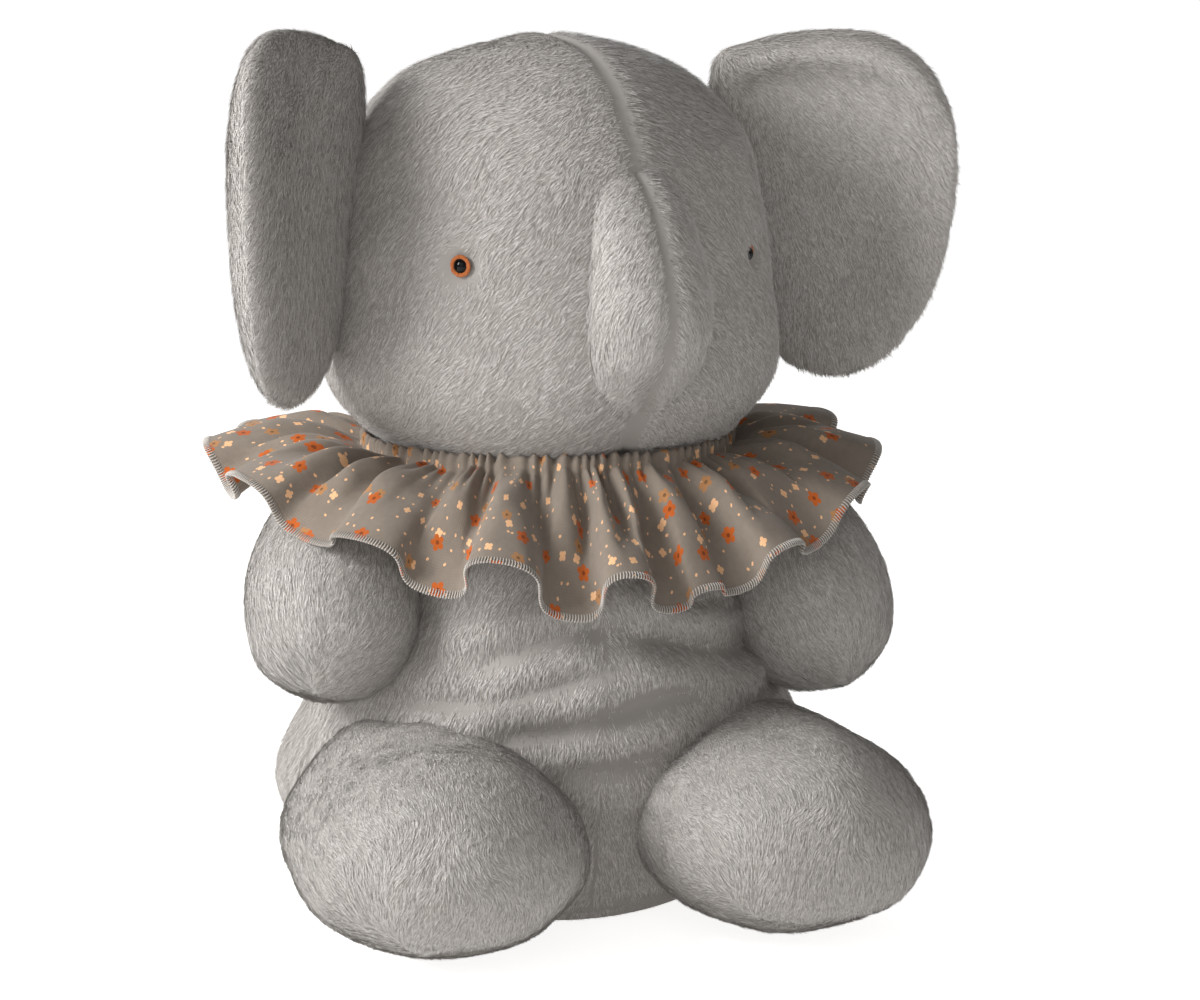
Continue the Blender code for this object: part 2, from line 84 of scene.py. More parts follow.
# Rings of a form: (place along it, half width, front, back) in millimetres.
TORSO_RINGS_MM = (
    (0, 0, 10, 10), (0, 66, -66, 86), (18, 116, -86, 113), (62, 144, -99, 122), (112, 126, -109, 116),
    (150, 103, -112, 104), (190, 93, -101, 92), (216, 86, -88, 88), (234, 89, -84, 92), (240, 80, -76, 84),
    (240, 0, 2, 2),
)
HEAD_RINGS_MM = (
    (233, 0, 0, 0), (236, 60, -60, 60), (249, 95, -95, 94), (283, 119, -118, 113), (330, 117, -117, 113),
    (370, 111, -113, 110), (405, 101, -103, 100), (433, 77, -79, 77), (449, 43, -45, 43), (455, 0, 0, 0),
)
TRUNK_RINGS_MM = (
    (393, 0, -106, -106), (384, 17, -120, -98), (368, 24, -134, -98), (345, 28.5, -146, -98),
    (322, 31, -151, -98), (303, 30, -146, -98), (288, 25, -134, -97), (276, 15, -121, -96),
    (268, 0, -108, -108),
)
# Rings of a limb: (distance along its axis, half width, half height) in millimetres.
ARM_RINGS_MM = ((0, 0, 0), (10, 21, 22), (34, 35, 38), (70, 43, 46), (98, 40, 44), (117, 27, 30), (128, 0, 0))
# How each arm is stuffed, left 1 and right -1: (its length, its thickness) beside the pattern's.
ARM_STUFFING = {1: (1.03, 0.98), -1: (0.94, 1.04)}
LEG_SAG = 0.22  # how much wider a leg lies low down, and flatter and narrower on top, under its own weight
LEG_RINGS_MM = (
    (-56, 0, 0), (-40, 39, 39), (0, 62, 56), (36, 69, 57), (72, 71, 57), (104, 68, 55), (130, 54, 46),
    (149, 32, 28), (158, 0, 0),
)
TAIL_RINGS_MM = ((0, 0, 0), (5, 6, 6), (34, 5.5, 5.5), (52, 7, 7), (64, 5, 5), (68, 0, 0))
# The ear's edge: (distance out from its hinge, height above the floor) in millimetres.
EAR_EDGE_MM = (
    (-5, 438), (14, 450), (46, 456), (84, 454), (112, 437), (127, 406), (127, 364), (116, 322), (94, 289),
    (64, 274), (34, 280), (14, 308), (3, 350), (-5, 388),
)
EAR_CENTRE_MM = (76, 370)
# Folds pressed into the belly: (half width of the fold, depth, points as (x, height)) in millimetres.
BELLY_FOLDS_MM = (
    (6.5, 4.2, ((-74, 136), (-47, 149), (-21, 160), (10, 166))),
    (7.0, 4.8, ((2, 161), (29, 157), (54, 149), (79, 143), (110, 135))),
    (6.0, 3.6, ((-98, 122), (-59, 127), (-21, 137), (4, 146))),
    (7.0, 4.0, ((-74, 114), (-32, 111), (3, 117), (36, 126), (66, 128))),
    (6.0, 3.4, ((-97, 104), (-72, 99), (-50, 94))), (6.0, 3.4, ((88, 117), (112, 119))),
    (5.0, 2.6, ((30, 176), (62, 170), (84, 160))), (7.0, 2.6, ((-30, 96), (5, 90), (34, 94))),
)


# ---------------------------------------------------------------- what a user may change


def linear(hex_colour):
    """A colour as Blender mixes light, from an sRGB hex value such as "#8c8076"."""
    parts = [int(hex_colour[i : i + 2], 16) / 255 for i in (1, 3, 5)]
    return [p / 12.92 if p <= 0.04045 else ((p + 0.055) / 1.055) ** 2.4 for p in parts]


def colour(name, description, hex_colour):
    return bpy.props.FloatVectorProperty(
        name=name, description=description, default=linear(hex_colour), size=3, min=0, max=1, subtype="COLOR"
    )


def length(name, description, default, least, most):
    return bpy.props.FloatProperty(
        name=name,
        description=description,
        default=default,
        min=least,
        max=most,
        precision=5,
        subtype="DISTANCE",
        unit="LENGTH",
    )


class ElephantSizes(bpy.types.PropertyGroup):
    pile_length: length("Pile length", "Length of the fur", 0.0068, 0.003, 0.02)
    strand_width: length("Strand width", "Width of one tuft of fibres at its root", 0.00048, 0.0002, 0.002)
    seam_depth: length("Seam depth", "How far the cloth draws in along a seam", 0.0018, 0.0, 0.005)
    hem_pitch: length("Hem stitch", "Distance between two stitches of the hem", 0.0015, 0.0008, 0.004)
    wave_depth: length("Wave depth", "How far the collar's hem waves up and down", 0.0135, 0.0, 0.02)
    strands: bpy.props.FloatProperty(
        name="Strands", description="Tufts of fibres for each square millimetre", default=2.6, min=0.05, max=4.0
    )


class ElephantColours(bpy.types.PropertyGroup):
    # The root and tip colours carry painted light: the darker root is painted shade of the pile's depth, the
    # lighter tips a painted highlight.
    fur_root: colour("Fur root", "Shaded depth of the pile", "#9d9893")
    fur_mid: colour("Fur", "Body of the pile", "#a6a19d")
    fur_tip: colour("Fur tips", "Tips that catch the light", "#bdb9b5")
    cotton: colour("Collar cotton", "Ground of the printed cotton", "#81766b")
    rust: colour("Rust flowers", "Main flowers of the print", "#b4581f")
    tan: colour("Tan flowers", "Second flowers of the print", "#a5764c")
    peach: colour("Peach sprigs", "Leaves and dots of the print", "#e3b286")
    thread: colour("Hem thread", "Overlocked hem", "#b5b0aa")
    ring: colour("Eye ring", "Rough ring round each eye", "#a85a24")
    floor: colour("Floor", "Studio floor", "#f3f2f0")


# ---------------------------------------------------------------- materials


def add_node(tree, kind, settings=None, **inputs):
    """Adds a shader node. An input takes a value, or a socket that it is linked to. _3 is the fourth input."""
    node = tree.nodes.new(kind)
    for key, value in (settings or {}).items():
        setattr(node, key, value)
    for key, value in inputs.items():
        socket = node.inputs[int(key[1:]) if key[0] == "_" else key.replace("_", " ")]
        if isinstance(value, bpy.types.NodeSocket):
            tree.links.new(value, socket)
        else:
            socket.default_value = value
    return node


def new_material(name, **shader_inputs):
    """A material with one Principled BSDF. Gives (material, tree, shader)."""
    made = bpy.data.materials.new(name)
    made.use_nodes = True
    shader = made.node_tree.nodes["Principled BSDF"]
    for key, value in shader_inputs.items():
        shader.inputs[key.replace("_", " ")].default_value = value
    return made, made.node_tree, shader


def opaque(rgb):
    return (*rgb, 1.0)


def shade(rgb, factor, warmth=0.0):
    """A colour made lighter by factor and warmer by warmth."""
    tints = (channel * factor * (1 + warmth * lean) for channel, lean in zip(rgb, (1.0, 0.1, -1.0)))
    return [min(1.0, max(0.0, tint)) for tint in tints]


PAINTED_FIBRE_GLOW = 0.07  # painted light: the share of its own colour that each pile fibre glows with, standing in for the light that reaches a fibre's dark side through the fibres round it
BACKING = "knitted fur backing"
# Tones of the pile: (name, which of the colours, how light, how warm, roughness). The root tone is painted
# shade of the pile's depth and the tip tones are painted highlight; the body tones differ at random.
PILE_TONES = (
    ("pile root", "fur_root", 1, 0, 0.80), ("pile body dark", "fur_mid", 0.93, 0, 0.65),
    ("pile body", "fur_mid", 1, 0, 0.62), ("pile body warm", "fur_mid", 1.04, 0.03, 0.62),
    ("pile tip soft", "fur_tip", 0.93, 0, 0.55), ("pile tip", "fur_tip", 1, 0, 0.50),
    ("pile tip pale", "fur_tip", 1.07, 0, 0.48),
)


def fur_materials(colours):
    """Knitted backing, then the root, three body tones and three tip tones of modacrylic pile. The backing and
    the root are painted shade of the pile's depth, the lighter tips a painted highlight, and each pile tone
    glows a little with painted light. Each tone is one plain finish, soft and a little silky, so light pools
    along the pile."""
    if BACKING not in bpy.data.materials:
        # The backing is the root colour a little darker: painted shade that shows in the gaps between the
        # tufts.
        new_material(BACKING, Base_Color=opaque(shade(colours.fur_root, 0.95)), Roughness=0.95)
        for name, key, factor, warmth, roughness in PILE_TONES:
            rgb = opaque(shade(getattr(colours, key), factor, warmth))
            # Painted light: each pile tone glows faintly in its own colour.
            made, _, _ = new_material(
                name, Base_Color=rgb, Roughness=roughness, Specular_IOR_Level=0.35, Sheen_Weight=0.22,
                Sheen_Roughness=0.5, Emission_Color=rgb, Emission_Strength=PAINTED_FIBRE_GLOW,
            )
            made.cycles.emission_sampling = "NONE"
    return [bpy.data.materials[name] for name in (BACKING, *(row[0] for row in PILE_TONES))]


MIXED_COLOUR = {"data_type": "RGBA"}
WEAVE_SCALE = 227.59828  # puts one band of the wave texture every 1.4 mm


def flower_mask(tree, place, spacing, reach, petals):
    """White where a small flower lies: one for each cell of a scattered grid, spacing metres apart. Gives the
    mask, the distance from the flower's heart and a random share for each flower."""
    flat = {"voronoi_dimensions": "2D", "feature": "F1"}
    cells = add_node(tree, "ShaderNodeTexVoronoi", flat, Vector=place, Scale=1 / spacing, Randomness=0.72)
    heart = cells.outputs["Position"]
    offset = add_node(tree, "ShaderNodeVectorMath", {"operation": "SUBTRACT"}, _0=place, _1=heart).outputs[0]
    axes = add_node(tree, "ShaderNodeSeparateXYZ", Vector=offset).outputs
    chance = add_node(tree, "ShaderNodeSeparateColor", Color=cells.outputs["Color"]).outputs
    distance = add_node(tree, "ShaderNodeVectorMath", {"operation": "LENGTH"}, _0=offset).outputs["Value"]
    found = {"x": axes["X"], "y": axes["Y"], "chance": chance[0], "distance": distance}
    for name, operation, *values in (
        ("turn", "ARCTAN2", "y", "x"),
        ("spin", "MULTIPLY", "chance", 6.28),
        ("spun", "ADD", "turn", "spin"),
        ("half", "MULTIPLY", "spun", petals / 2),
        ("wave", "COSINE", "half"),
        ("lobes", "ABSOLUTE", "wave"),
        ("round", "POWER", "lobes", 0.6),
        ("swell", "MULTIPLY", "round", 0.5),
        ("grown", "ADD", "swell", 0.5),
        ("edge", "MULTIPLY", "grown", reach),
        ("inside", "LESS_THAN", "distance", "edge"),
    ):
        inputs = {f"_{k}": found.get(value, value) for k, value in enumerate(values)}
        found[name] = add_node(tree, "ShaderNodeMath", {"operation": operation}, **inputs).outputs[0]
    return found["inside"], distance, chance[1]


def printed_cotton(colours):
    """Plain-woven cotton with a small floral print: matt, with a fine bump of its threads."""
    finish = {"Roughness": 0.88, "Sheen_Weight": 0.15, "Specular_IOR_Level": 0.25}
    made, tree, shader = new_material("printed cotton", **finish)
    cut = add_node(tree, "ShaderNodeUVMap", {"uv_map": "cut"}).outputs[0]
    ground = add_node(tree, "ShaderNodeTexNoise", Vector=cut, Scale=260.0, Detail=3.0)
    tints = {"_6": opaque(shade(colours.cotton, 0.86)), "_7": opaque(shade(colours.cotton, 1.12))}
    base = add_node(tree, "ShaderNodeMix", MIXED_COLOUR, Factor=ground.outputs[0], **tints).outputs[2]
    shifted, moved = (
        add_node(tree, "ShaderNodeVectorMath", {"operation": "ADD"}, _0=cut, _1=step).outputs[0]
        for step in ((0.0371, 0.0193, 0), (0.0113, 0.0457, 0))
    )
    # Layers of the print: (place, spacing and reach in metres, petals, ink, share of the cells that have one).
    for place, spacing, reach, petals, ink, share in (
        (moved, 0.0070, 0.0009, 2, colours.peach, 0.34),
        (shifted, 0.0170, 0.0026, 4, colours.peach, 0.45),
        (shifted, 0.0270, 0.0038, 5, colours.tan, 0.50),
        (cut, 0.0230, 0.0043, 5, colours.rust, 0.66),
    ):
        inside, distance, chance = flower_mask(tree, place, spacing, reach, petals)
        inks = [(ink, chance, share)]
        if petals == 5:
            inks.append((shade(ink, 0.45), distance, reach * 0.25))  # the flower's dark heart
        mask = inside
        for tint, value, limit in inks:
            within = add_node(tree, "ShaderNodeMath", {"operation": "LESS_THAN"}, _0=value, _1=limit).outputs[0]
            mask = add_node(tree, "ShaderNodeMath", {"operation": "MULTIPLY"}, _0=mask, _1=within).outputs[0]
            inked = {"Factor": mask, "_6": base, "_7": opaque(tint)}
            base = add_node(tree, "ShaderNodeMix", MIXED_COLOUR, **inked).outputs[2]
    tree.links.new(base, shader.inputs["Base Color"])
    # Threads lie 0.3 mm apart on the real cotton; they are drawn 1.4 mm apart so that the weave shows.
    bands = {"Vector": cut, "Scale": WEAVE_SCALE, "Distortion": 0.6}
    warp, weft = (add_node(tree, "ShaderNodeTexWave", {"bands_direction": way}, **bands) for way in "XY")
    threads = {"_0": warp.outputs[1], "_1": weft.outputs[1]}
    weave = add_node(tree, "ShaderNodeMath", {"operation": "MAXIMUM"}, **threads).outputs[0]
    bump = add_node(tree, "ShaderNodeBump", Strength=0.35, Distance=0.0002, Height=weave)
    tree.links.new(bump.outputs[0], shader.inputs["Normal"])
    return made


def mottled(name, rgb, scale, spread, **shader_inputs):
    """A finish whose colour drifts a little from place to place over scale metres."""
    made, tree, shader = new_material(name, **shader_inputs)
    place = add_node(tree, "ShaderNodeTexCoord").outputs["Object"]
    drift = add_node(tree, "ShaderNodeTexNoise", Vector=place, Scale=1 / scale, Detail=4.0)
    tints = {"_6": opaque(shade(rgb, 1 - spread)), "_7": opaque(shade(rgb, 1 + spread))}
    mixed = add_node(tree, "ShaderNodeMix", MIXED_COLOUR, Factor=drift.outputs[0], **tints)
    tree.links.new(mixed.outputs[2], shader.inputs["Base Color"])
    return made


# ---------------------------------------------------------------- shapes


LATTICE = np.random.default_rng(11).uniform(-1, 1, (4096, 3))


def soft_noise(points, cell, seed):
    """Smooth random vectors within -1 to 1 that vary over cell metres."""
    grid = points / cell + 1000.0
    base = np.floor(grid).astype(np.int64)
    part = grid - base
    part = part * part * (3 - 2 * part)
    found = np.zeros((len(grid), 3))
    for corner in range(8):
        step = np.array([corner & 1, corner >> 1 & 1, corner >> 2 & 1])
        cellid = base + step
        key = cellid[:, 0] * 73856093 ^ cellid[:, 1] * 19349663 ^ cellid[:, 2] * 83492791 ^ (seed * 265443577)
        weight = np.prod(np.where(step == 1, part, 1 - part), axis=1)
        found += weight[:, None] * LATTICE[key & 4095]
    return found


def unit(vectors):
    return vectors / np.maximum(np.linalg.norm(vectors, axis=-1, keepdims=True), 1e-12)


def smooth_rows(rows, steps, ghosts):
    """Rows with steps - 1 more between each two, on one smooth curve. ghosts are the rows past its two ends."""
    run = np.array([ghosts[0], *rows, ghosts[1]], float)
    t = (np.arange(steps) / steps)[None, :, None]
    a, b, c, d = (run[k : len(run) - 3 + k, None, :] for k in range(4))
    found = 0.5 * (2 * b + (c - a) * t + (2 * a - 5 * b + 4 * c - d) * t**2 + (3 * b - a - 3 * c + d) * t**3)
    return np.concatenate([found.reshape(-1, run.shape[1]), run[-2:-1]])


class UprightForm:
    """A torso, head or trunk: level rings, each an oval from front to back."""

    def __init__(self, rows_mm, steps, lowest=None):
        def past_pole(pole, row):
            return (row[0], -row[1], 2 * pole[2] - row[3], 2 * pole[2] - row[2])

        ghosts = past_pole(rows_mm[0], rows_mm[1]), past_pole(rows_mm[-1], rows_mm[-2])
        rows = smooth_rows(rows_mm, steps, ghosts) * MM
        if lowest:
            rows[:, 0] = np.clip(rows[:, 0], lowest[0] * MM, lowest[1] * MM)
        self.height, self.half_width, front, back = rows.T
        self.half_width = np.maximum(self.half_width, 0)
        self.middle, self.half_depth = (front + back) / 2, np.maximum((back - front) / 2, 0)

    def grid(self, sides, seam_y=None):
        """Points as (rings, sides, 3). The first half of the sides is one panel, the second half the other."""
        if seam_y is None:
            turns = -math.pi / 2 + 2 * math.pi * np.arange(sides) / sides
            turns = np.repeat(turns[None], len(self.height), 0)
        else:
            safe = np.maximum(self.half_depth, 1e-6)
            first = np.arcsin(np.clip((seam_y - self.middle) / safe, -0.97, 0.97))
            share = np.arange(sides // 2) / (sides // 2)
            back = first[:, None] + (math.pi - 2 * first)[:, None] * share
            front = (math.pi - first)[:, None] + (math.pi + 2 * first)[:, None] * share
            turns = np.concatenate([back, front], axis=1)
        x = self.half_width[:, None] * np.cos(turns)
        y = self.middle[:, None] + self.half_depth[:, None] * np.sin(turns)
        z = np.repeat(self.height[:, None], sides, 1)
        return np.stack([x, y, z], axis=2)

    def holds(self, points, margin):
        """True for each point that lies deeper than margin inside this form."""
        up = points[:, 2]
        order = np.argsort(self.height, kind="stable")
        sizes = (self.half_width, self.half_depth, self.middle)
        width, depth, middle = (np.interp(up, self.height[order], size[order]) for size in sizes)
        width, depth = np.maximum(width - margin, 1e-6), np.maximum(depth - margin, 1e-6)
        within = (points[:, 0] / width) ** 2 + ((points[:, 1] - middle) / depth) ** 2 < 1
        return within & (up > self.height.min() + margin) & (up < self.height.max() - margin)


class LimbForm:
    """An arm, leg or tail: rings square to a straight axis."""

    def __init__(self, rows_mm, steps, start, end, sag=0.0):
        def past_pole(row):
            return (row[0], -row[1], -row[2])

        self.sag = sag
        rows = smooth_rows(rows_mm, steps, (past_pole(rows_mm[1]), past_pole(rows_mm[-2]))) * MM
        self.place = rows[:, 0]
        self.half_width, self.half_height = np.maximum(rows[:, 1:], 0).T
        self.start = start
        self.along = unit(end - start)
        self.across = unit(np.cross(self.along, (0.0, 0.0, 1.0)))
        self.upward = unit(np.cross(self.across, self.along))

    def grid(self, sides, first_turn):
        turns = first_turn + 2 * math.pi * np.arange(sides) / sides
        centre = self.start + self.along * self.place[:, None]
        wide = self.half_width[:, None] * np.cos(turns) * (1 - self.sag * np.sin(turns))
        sunk = np.where(np.sin(turns) > 0, 1 - 0.7 * self.sag, 1)
        tall = self.half_height[:, None] * np.sin(turns) * sunk
        return centre[:, None, :] + self.across * wide[:, :, None] + self.upward * tall[:, :, None]

    def holds(self, points, margin):
        offset = points - self.start
        place = offset @ self.along
        width = np.maximum(np.interp(place, self.place, self.half_width) - margin, 1e-6)
        height = np.maximum(np.interp(place, self.place, self.half_height) - margin, 1e-6)
        within = (offset @ self.across / width) ** 2 + (offset @ self.upward / height) ** 2 < 1
        return within & (place > self.place[0] + margin) & (place < self.place[-1] - margin)


def to_head(points):
    return (points - HEAD_OFFSET) @ HEAD_AXES


def from_head(points):
    return points @ HEAD_AXES.T + HEAD_OFFSET


def grid_faces(rings, sides, columns):
    """Quads of a ring grid for a range of its columns, round the loop."""
    ring = np.arange(rings - 1)[:, None]
    here = np.array(columns)[None, :]
    after = (here + 1) % sides
    corners = [ring * sides + here, ring * sides + after, (ring + 1) * sides + after, (ring + 1) * sides + here]
    return np.stack(corners, 2).reshape(-1, 4)


def vertex_normals(points, quads):
    """Smooth outward normals of a grid of quads."""
    across = points[quads[:, 2]] - points[quads[:, 0]]
    down = points[quads[:, 3]] - points[quads[:, 1]]
    face = np.cross(across, down)
    found = np.zeros_like(points)
    for k in range(4):
        for axis in range(3):
            found[:, axis] += np.bincount(quads[:, k], face[:, axis], len(points))
    return unit(found)


def bell(distance, width):
    """1 at no distance, and falling smoothly to almost nothing at twice the width."""
    return np.exp(-((distance / width) ** 2))


def raised_by(points, normals, height):
    """Points pushed out along their normals."""
    return points + normals * height[:, None]


def press_seam(points, normals, distance, depth, width=0.0035):
    """Draws the cloth in along a seam."""
    return points - normals * (depth * bell(distance, width))[:, None]


def line_distance(flat, line):
    """How far each flat point is from a run of points, and its share of the way along it, from 0 to 1."""
    best = np.full(len(flat), 1e9)
    where = np.zeros(len(flat))
    for k, (start, end) in enumerate(zip(line[:-1], line[1:])):
        along = end - start
        share = np.clip((flat - start) @ along / (along @ along), 0, 1)
        gap = np.linalg.norm(flat - start - share[:, None] * along, axis=1)
        nearer = gap < best
        best = np.where(nearer, gap, best)
        where = np.where(nearer, (k + share) / (len(line) - 1), where)
    return best, where


def set_mesh(name, points, loops, starts, material_index, normals=None):
    mesh = bpy.data.meshes.new(name)
    mesh.vertices.add(len(points))
    mesh.loops.add(len(loops))
    mesh.polygons.add(len(starts))
    mesh.vertices.foreach_set("co", np.ascontiguousarray(points, np.float32).ravel())
    mesh.loops.foreach_set("vertex_index", np.ascontiguousarray(loops, np.int32))
    mesh.polygons.foreach_set("loop_start", np.ascontiguousarray(starts, np.int32))
    mesh.polygons.foreach_set("material_index", np.ascontiguousarray(material_index, np.int32))
    mesh.polygons.foreach_set("use_smooth", np.ones(len(starts), bool))
    mesh.update(calc_edges=True)
    mesh.validate(clean_customdata=False)
    if normals is not None and len(mesh.vertices) == len(normals):
        mesh.normals_split_custom_set_from_vertices(normals)
    return mesh


def add_piece(name, mesh, materials, body, nodes):
    """Puts a mesh in the scene as the piece that stands for its CAD nodes."""
    made = bpy.data.objects.new(name, mesh)
    bpy.context.scene.collection.objects.link(made)
    for material in materials:
        mesh.materials.append(material)
    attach(made, body)
    if nodes:
        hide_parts(*nodes)
    return made


# ---------------------------------------------------------------- fur


def strand_roots(points, normals, quads, count, rng):
    """Random roots spread evenly over a skin, each with the skin's normal."""
    tris = np.concatenate([quads[:, [0, 1, 2]], quads[:, [0, 2, 3]]])
    a, b, c = (points[tris[:, k]] for k in range(3))
    area = np.linalg.norm(np.cross(b - a, c - a), axis=1)
    picked = rng.choice(len(tris), count, p=area / area.sum())
    u, v = rng.random(count), rng.random(count)
    flip = u + v > 1
    u, v = np.where(flip, 1 - u, u), np.where(flip, 1 - v, v)
    weights = np.stack([1 - u - v, u, v], 1)
    root = np.einsum("nk,nkj->nj", weights, points[tris[picked]])
    normal = unit(np.einsum("nk,nkj->nj", weights, normals[tris[picked]]))
    return root, normal


def panel_area(points, quads):
    across, down = points[quads[:, 2]] - points[quads[:, 0]], points[quads[:, 3]] - points[quads[:, 1]]
    return np.linalg.norm(np.cross(across, down), axis=1).sum() / 2


MOST_FACES = 196000  # of one panel, backing and pile together
LONG_SHARE = 0.22  # of the tufts: long bent fibres over a dense short undercoat
ROOT_DEPTH = 0.0004  # how far a tuft starts below the cloth's face; pile stays as far above the floor


def fur_panel(name, body, nodes, points, normals, quads, nap, density=1.0, hidden=(), seed=0, slot="grey_fur"):
    """One sewn panel of faux fur: its backing cloth and its pile, tufts of fibres that lie along the nap."""
    settings = bpy.context.scene.elephant_sizes
    rng = np.random.default_rng(1000 + seed)
    share = 1.0
    room = (MOST_FACES - 2 * len(quads)) / (1 + 2 * LONG_SHARE)
    count = int(min(panel_area(points, quads) * 1e6 * settings.strands * density, room * 1.15) * share)
    root, normal = strand_roots(points, normals, quads, count, rng)
    keep = np.ones(len(root), bool)
    for test, margin in hidden:
        keep &= ~test(root, margin)
    keep &= np.cumsum(keep) < room
    root, normal = root[keep], normal[keep]
    way, lift, scale = nap(root, normal)
    count = len(root)

    fine = soft_noise(root, 0.0040, seed + 1)
    broad = soft_noise(root, 0.013, seed + 2)
    way = unit(way - normal * np.sum(way * normal, axis=1, keepdims=True))
    way = way + fine * 0.30 + broad * 0.26 + rng.normal(0, 0.10, (count, 3))
    way = unit(way - normal * np.sum(way * normal, axis=1, keepdims=True))
    long = np.arange(count) < count * LONG_SHARE
    lift = lift * np.where(long, 1.0, 0.55) + fine[:, 1] * 0.10 + broad[:, 2] * 0.06
    lift = lift + rng.normal(0, 0.05, count)
    lift = np.clip(lift, 0.06, 1.45)
    reach = settings.pile_length * scale * rng.uniform(0.78, 1.10, count) * (1 + 0.08 * broad[:, 0])
    reach = np.where(long, reach * 1.12, reach * 0.86)
    low = way * np.cos(lift)[:, None] + normal * np.sin(lift)[:, None]
    droop = np.maximum(lift - 0.22, 0.04)
    high = way * np.cos(droop)[:, None] + normal * np.sin(droop)[:, None]
    side = unit(np.cross(low, normal + rng.normal(0, 0.12, (count, 3))))
    width = settings.strand_width * rng.uniform(0.8, 1.2, count) * np.where(long, 0.8, 1.15)
    base = root - normal * ROOT_DEPTH
    half = side * (width / 2)[:, None]
    shown = unit(normal * 0.80 + low * 0.10 + side * rng.normal(0, 0.20, (count, 1)) + fine * 0.10)
    tone = np.clip(np.floor(rng.random(count) * 3 + fine[:, 0] * 0.7), 0, 2).astype(int)

    middle = base + low * (reach * 0.52)[:, None]
    tip = middle + high * (reach * 0.48)[:, None]
    bent = np.stack([base - half, base + half, middle + half * 0.82, middle - half * 0.82, tip], 1)[long]
    plain = np.stack([base - half, base + half, base + low * (reach * 0.94)[:, None]], 1)[~long]
    for tufts in (bent, plain):
        tufts[:, :, 2] = np.maximum(tufts[:, :, 2], ROOT_DEPTH)
    flipped = np.sum(np.cross(side, low) * normal, axis=1) < 0
    first = len(points) + 5 * np.arange(len(bent))[:, None]
    order = np.where(flipped[long][:, None], [3, 2, 1, 0, 4, 2, 3], [0, 1, 2, 3, 3, 2, 4])
    bent_loops = (first + order).reshape(-1)
    first = len(points) + 5 * len(bent) + 3 * np.arange(len(plain))[:, None]
    order = np.where(flipped[~long][:, None], [2, 1, 0], [0, 1, 2])
    plain_loops = (first + order).reshape(-1)
    skin_loops = quads.reshape(-1)
    so_far = len(skin_loops)
    starts = [4 * np.arange(len(quads))]
    starts.append((so_far + 7 * np.arange(len(bent))[:, None] + np.array([[0, 4]])).reshape(-1))
    so_far += len(bent_loops)
    starts.append(so_far + 3 * np.arange(len(plain)))

    # Material 1 is the root tone in painted shade, and materials 5 to 7 are the tip tones in painted highlight.
    lower = np.where(rng.random(count) < 0.4, 1, 2 + tone)
    upper = 5 + np.clip(tone + rng.integers(-1, 2, count), 0, 2)
    index = [np.zeros(len(quads), int), np.stack([lower, upper], 1)[long].reshape(-1)]
    index.append(np.where(rng.random(count) < 0.5, 2 + tone, 5 + np.minimum(tone, 1))[~long])
    mesh = set_mesh(
        name,
        np.concatenate([points, bent.reshape(-1, 3), plain.reshape(-1, 3)]),
        np.concatenate([skin_loops, bent_loops, plain_loops]),
        np.concatenate(starts),
        np.concatenate(index),
        np.concatenate([normals, np.repeat(shown[long], 5, axis=0), np.repeat(shown[~long], 3, axis=0)]),
    )
    made = add_piece(name, mesh, fur_materials(bpy.context.scene.elephant_colours), body, nodes)
    return made


def skin_of(grid):
    """Points, smooth outward normals of a closed ring grid, whether its quads must be turned to face outward,
    and its size.
    """
    rings, sides = grid.shape[:2]
    points = grid.reshape(-1, 3)
    quads = grid_faces(rings, sides, range(sides))
    normals = vertex_normals(points, quads)
    outward = points - points.mean(axis=0)
    flip = np.sum(normals * outward) < 0
    for pole in (0, rings - 1):
        ring = slice(pole * sides, (pole + 1) * sides)
        mean = normals[ring].sum(axis=0)
        if np.ptp(points[ring], axis=0).max() < 1e-5:
            normals[ring] = unit(mean) if np.linalg.norm(mean) > 1e-6 else normals[ring]
    return points, (-normals if flip else normals), flip, rings, sides


def panel_quads(rings, sides, half, flip):
    columns = range(0, sides // 2) if half == 0 else range(sides // 2, sides)
    quads = grid_faces(rings, sides, columns)
    return quads[:, ::-1] if flip else quads


def compact(points, normals, quads):
    """Only the points that these quads use."""
    used, index = np.unique(quads, return_inverse=True)
    return points[used], normals[used], index.reshape(quads.shape)


def steady(value, count):
    return np.full(count, float(value))


def two_panels(
    body, names, points, layout, nap, densities=(1.0, 1.0), hidden=(), seed=0, filled=0, on_head=False
):
    """The two fur panels of a form, each from its half of the quads. The one called filled also stands for the
    filling inside. On the head, the points are in the head's frame."""
    rings, sides, flip = layout
    halves = [panel_quads(rings, sides, half, flip) for half in (0, 1)]
    normals = vertex_normals(points, np.concatenate(halves))
    if on_head:
        points, normals = from_head(points), normals @ HEAD_AXES.T
    for k, (name, quads, density) in enumerate(zip(names, halves, densities)):
        part = compact(points, normals, quads)
        stands_for = [name, f"{body}_filling"] if k == filled else [name]
        fur_panel(f"{name}_fur", body, stands_for, *part, nap, density, hidden, seed + k)


# ---------------------------------------------------------------- pieces


def torso_form():
    return UprightForm(TORSO_RINGS_MM, 12, lowest=(0, 240))


def head_form():
    return UprightForm(HEAD_RINGS_MM, 10)


def trunk_form():
    return UprightForm(TRUNK_RINGS_MM, 8)


def leg_form(word):
    return LimbForm(LEG_RINGS_MM, 8, HIPS[word], LEG_ENDS[word], LEG_SAG)


def arm_form(side):
    flip = np.array([side, 1.0, 1.0])
    long, thick = ARM_STUFFING[side]
    rows = [(place * long, wide * thick, tall * thick) for place, wide, tall in ARM_RINGS_MM]
    return LimbForm(rows, 8, ARM_TOP * flip, ARM_END * flip)


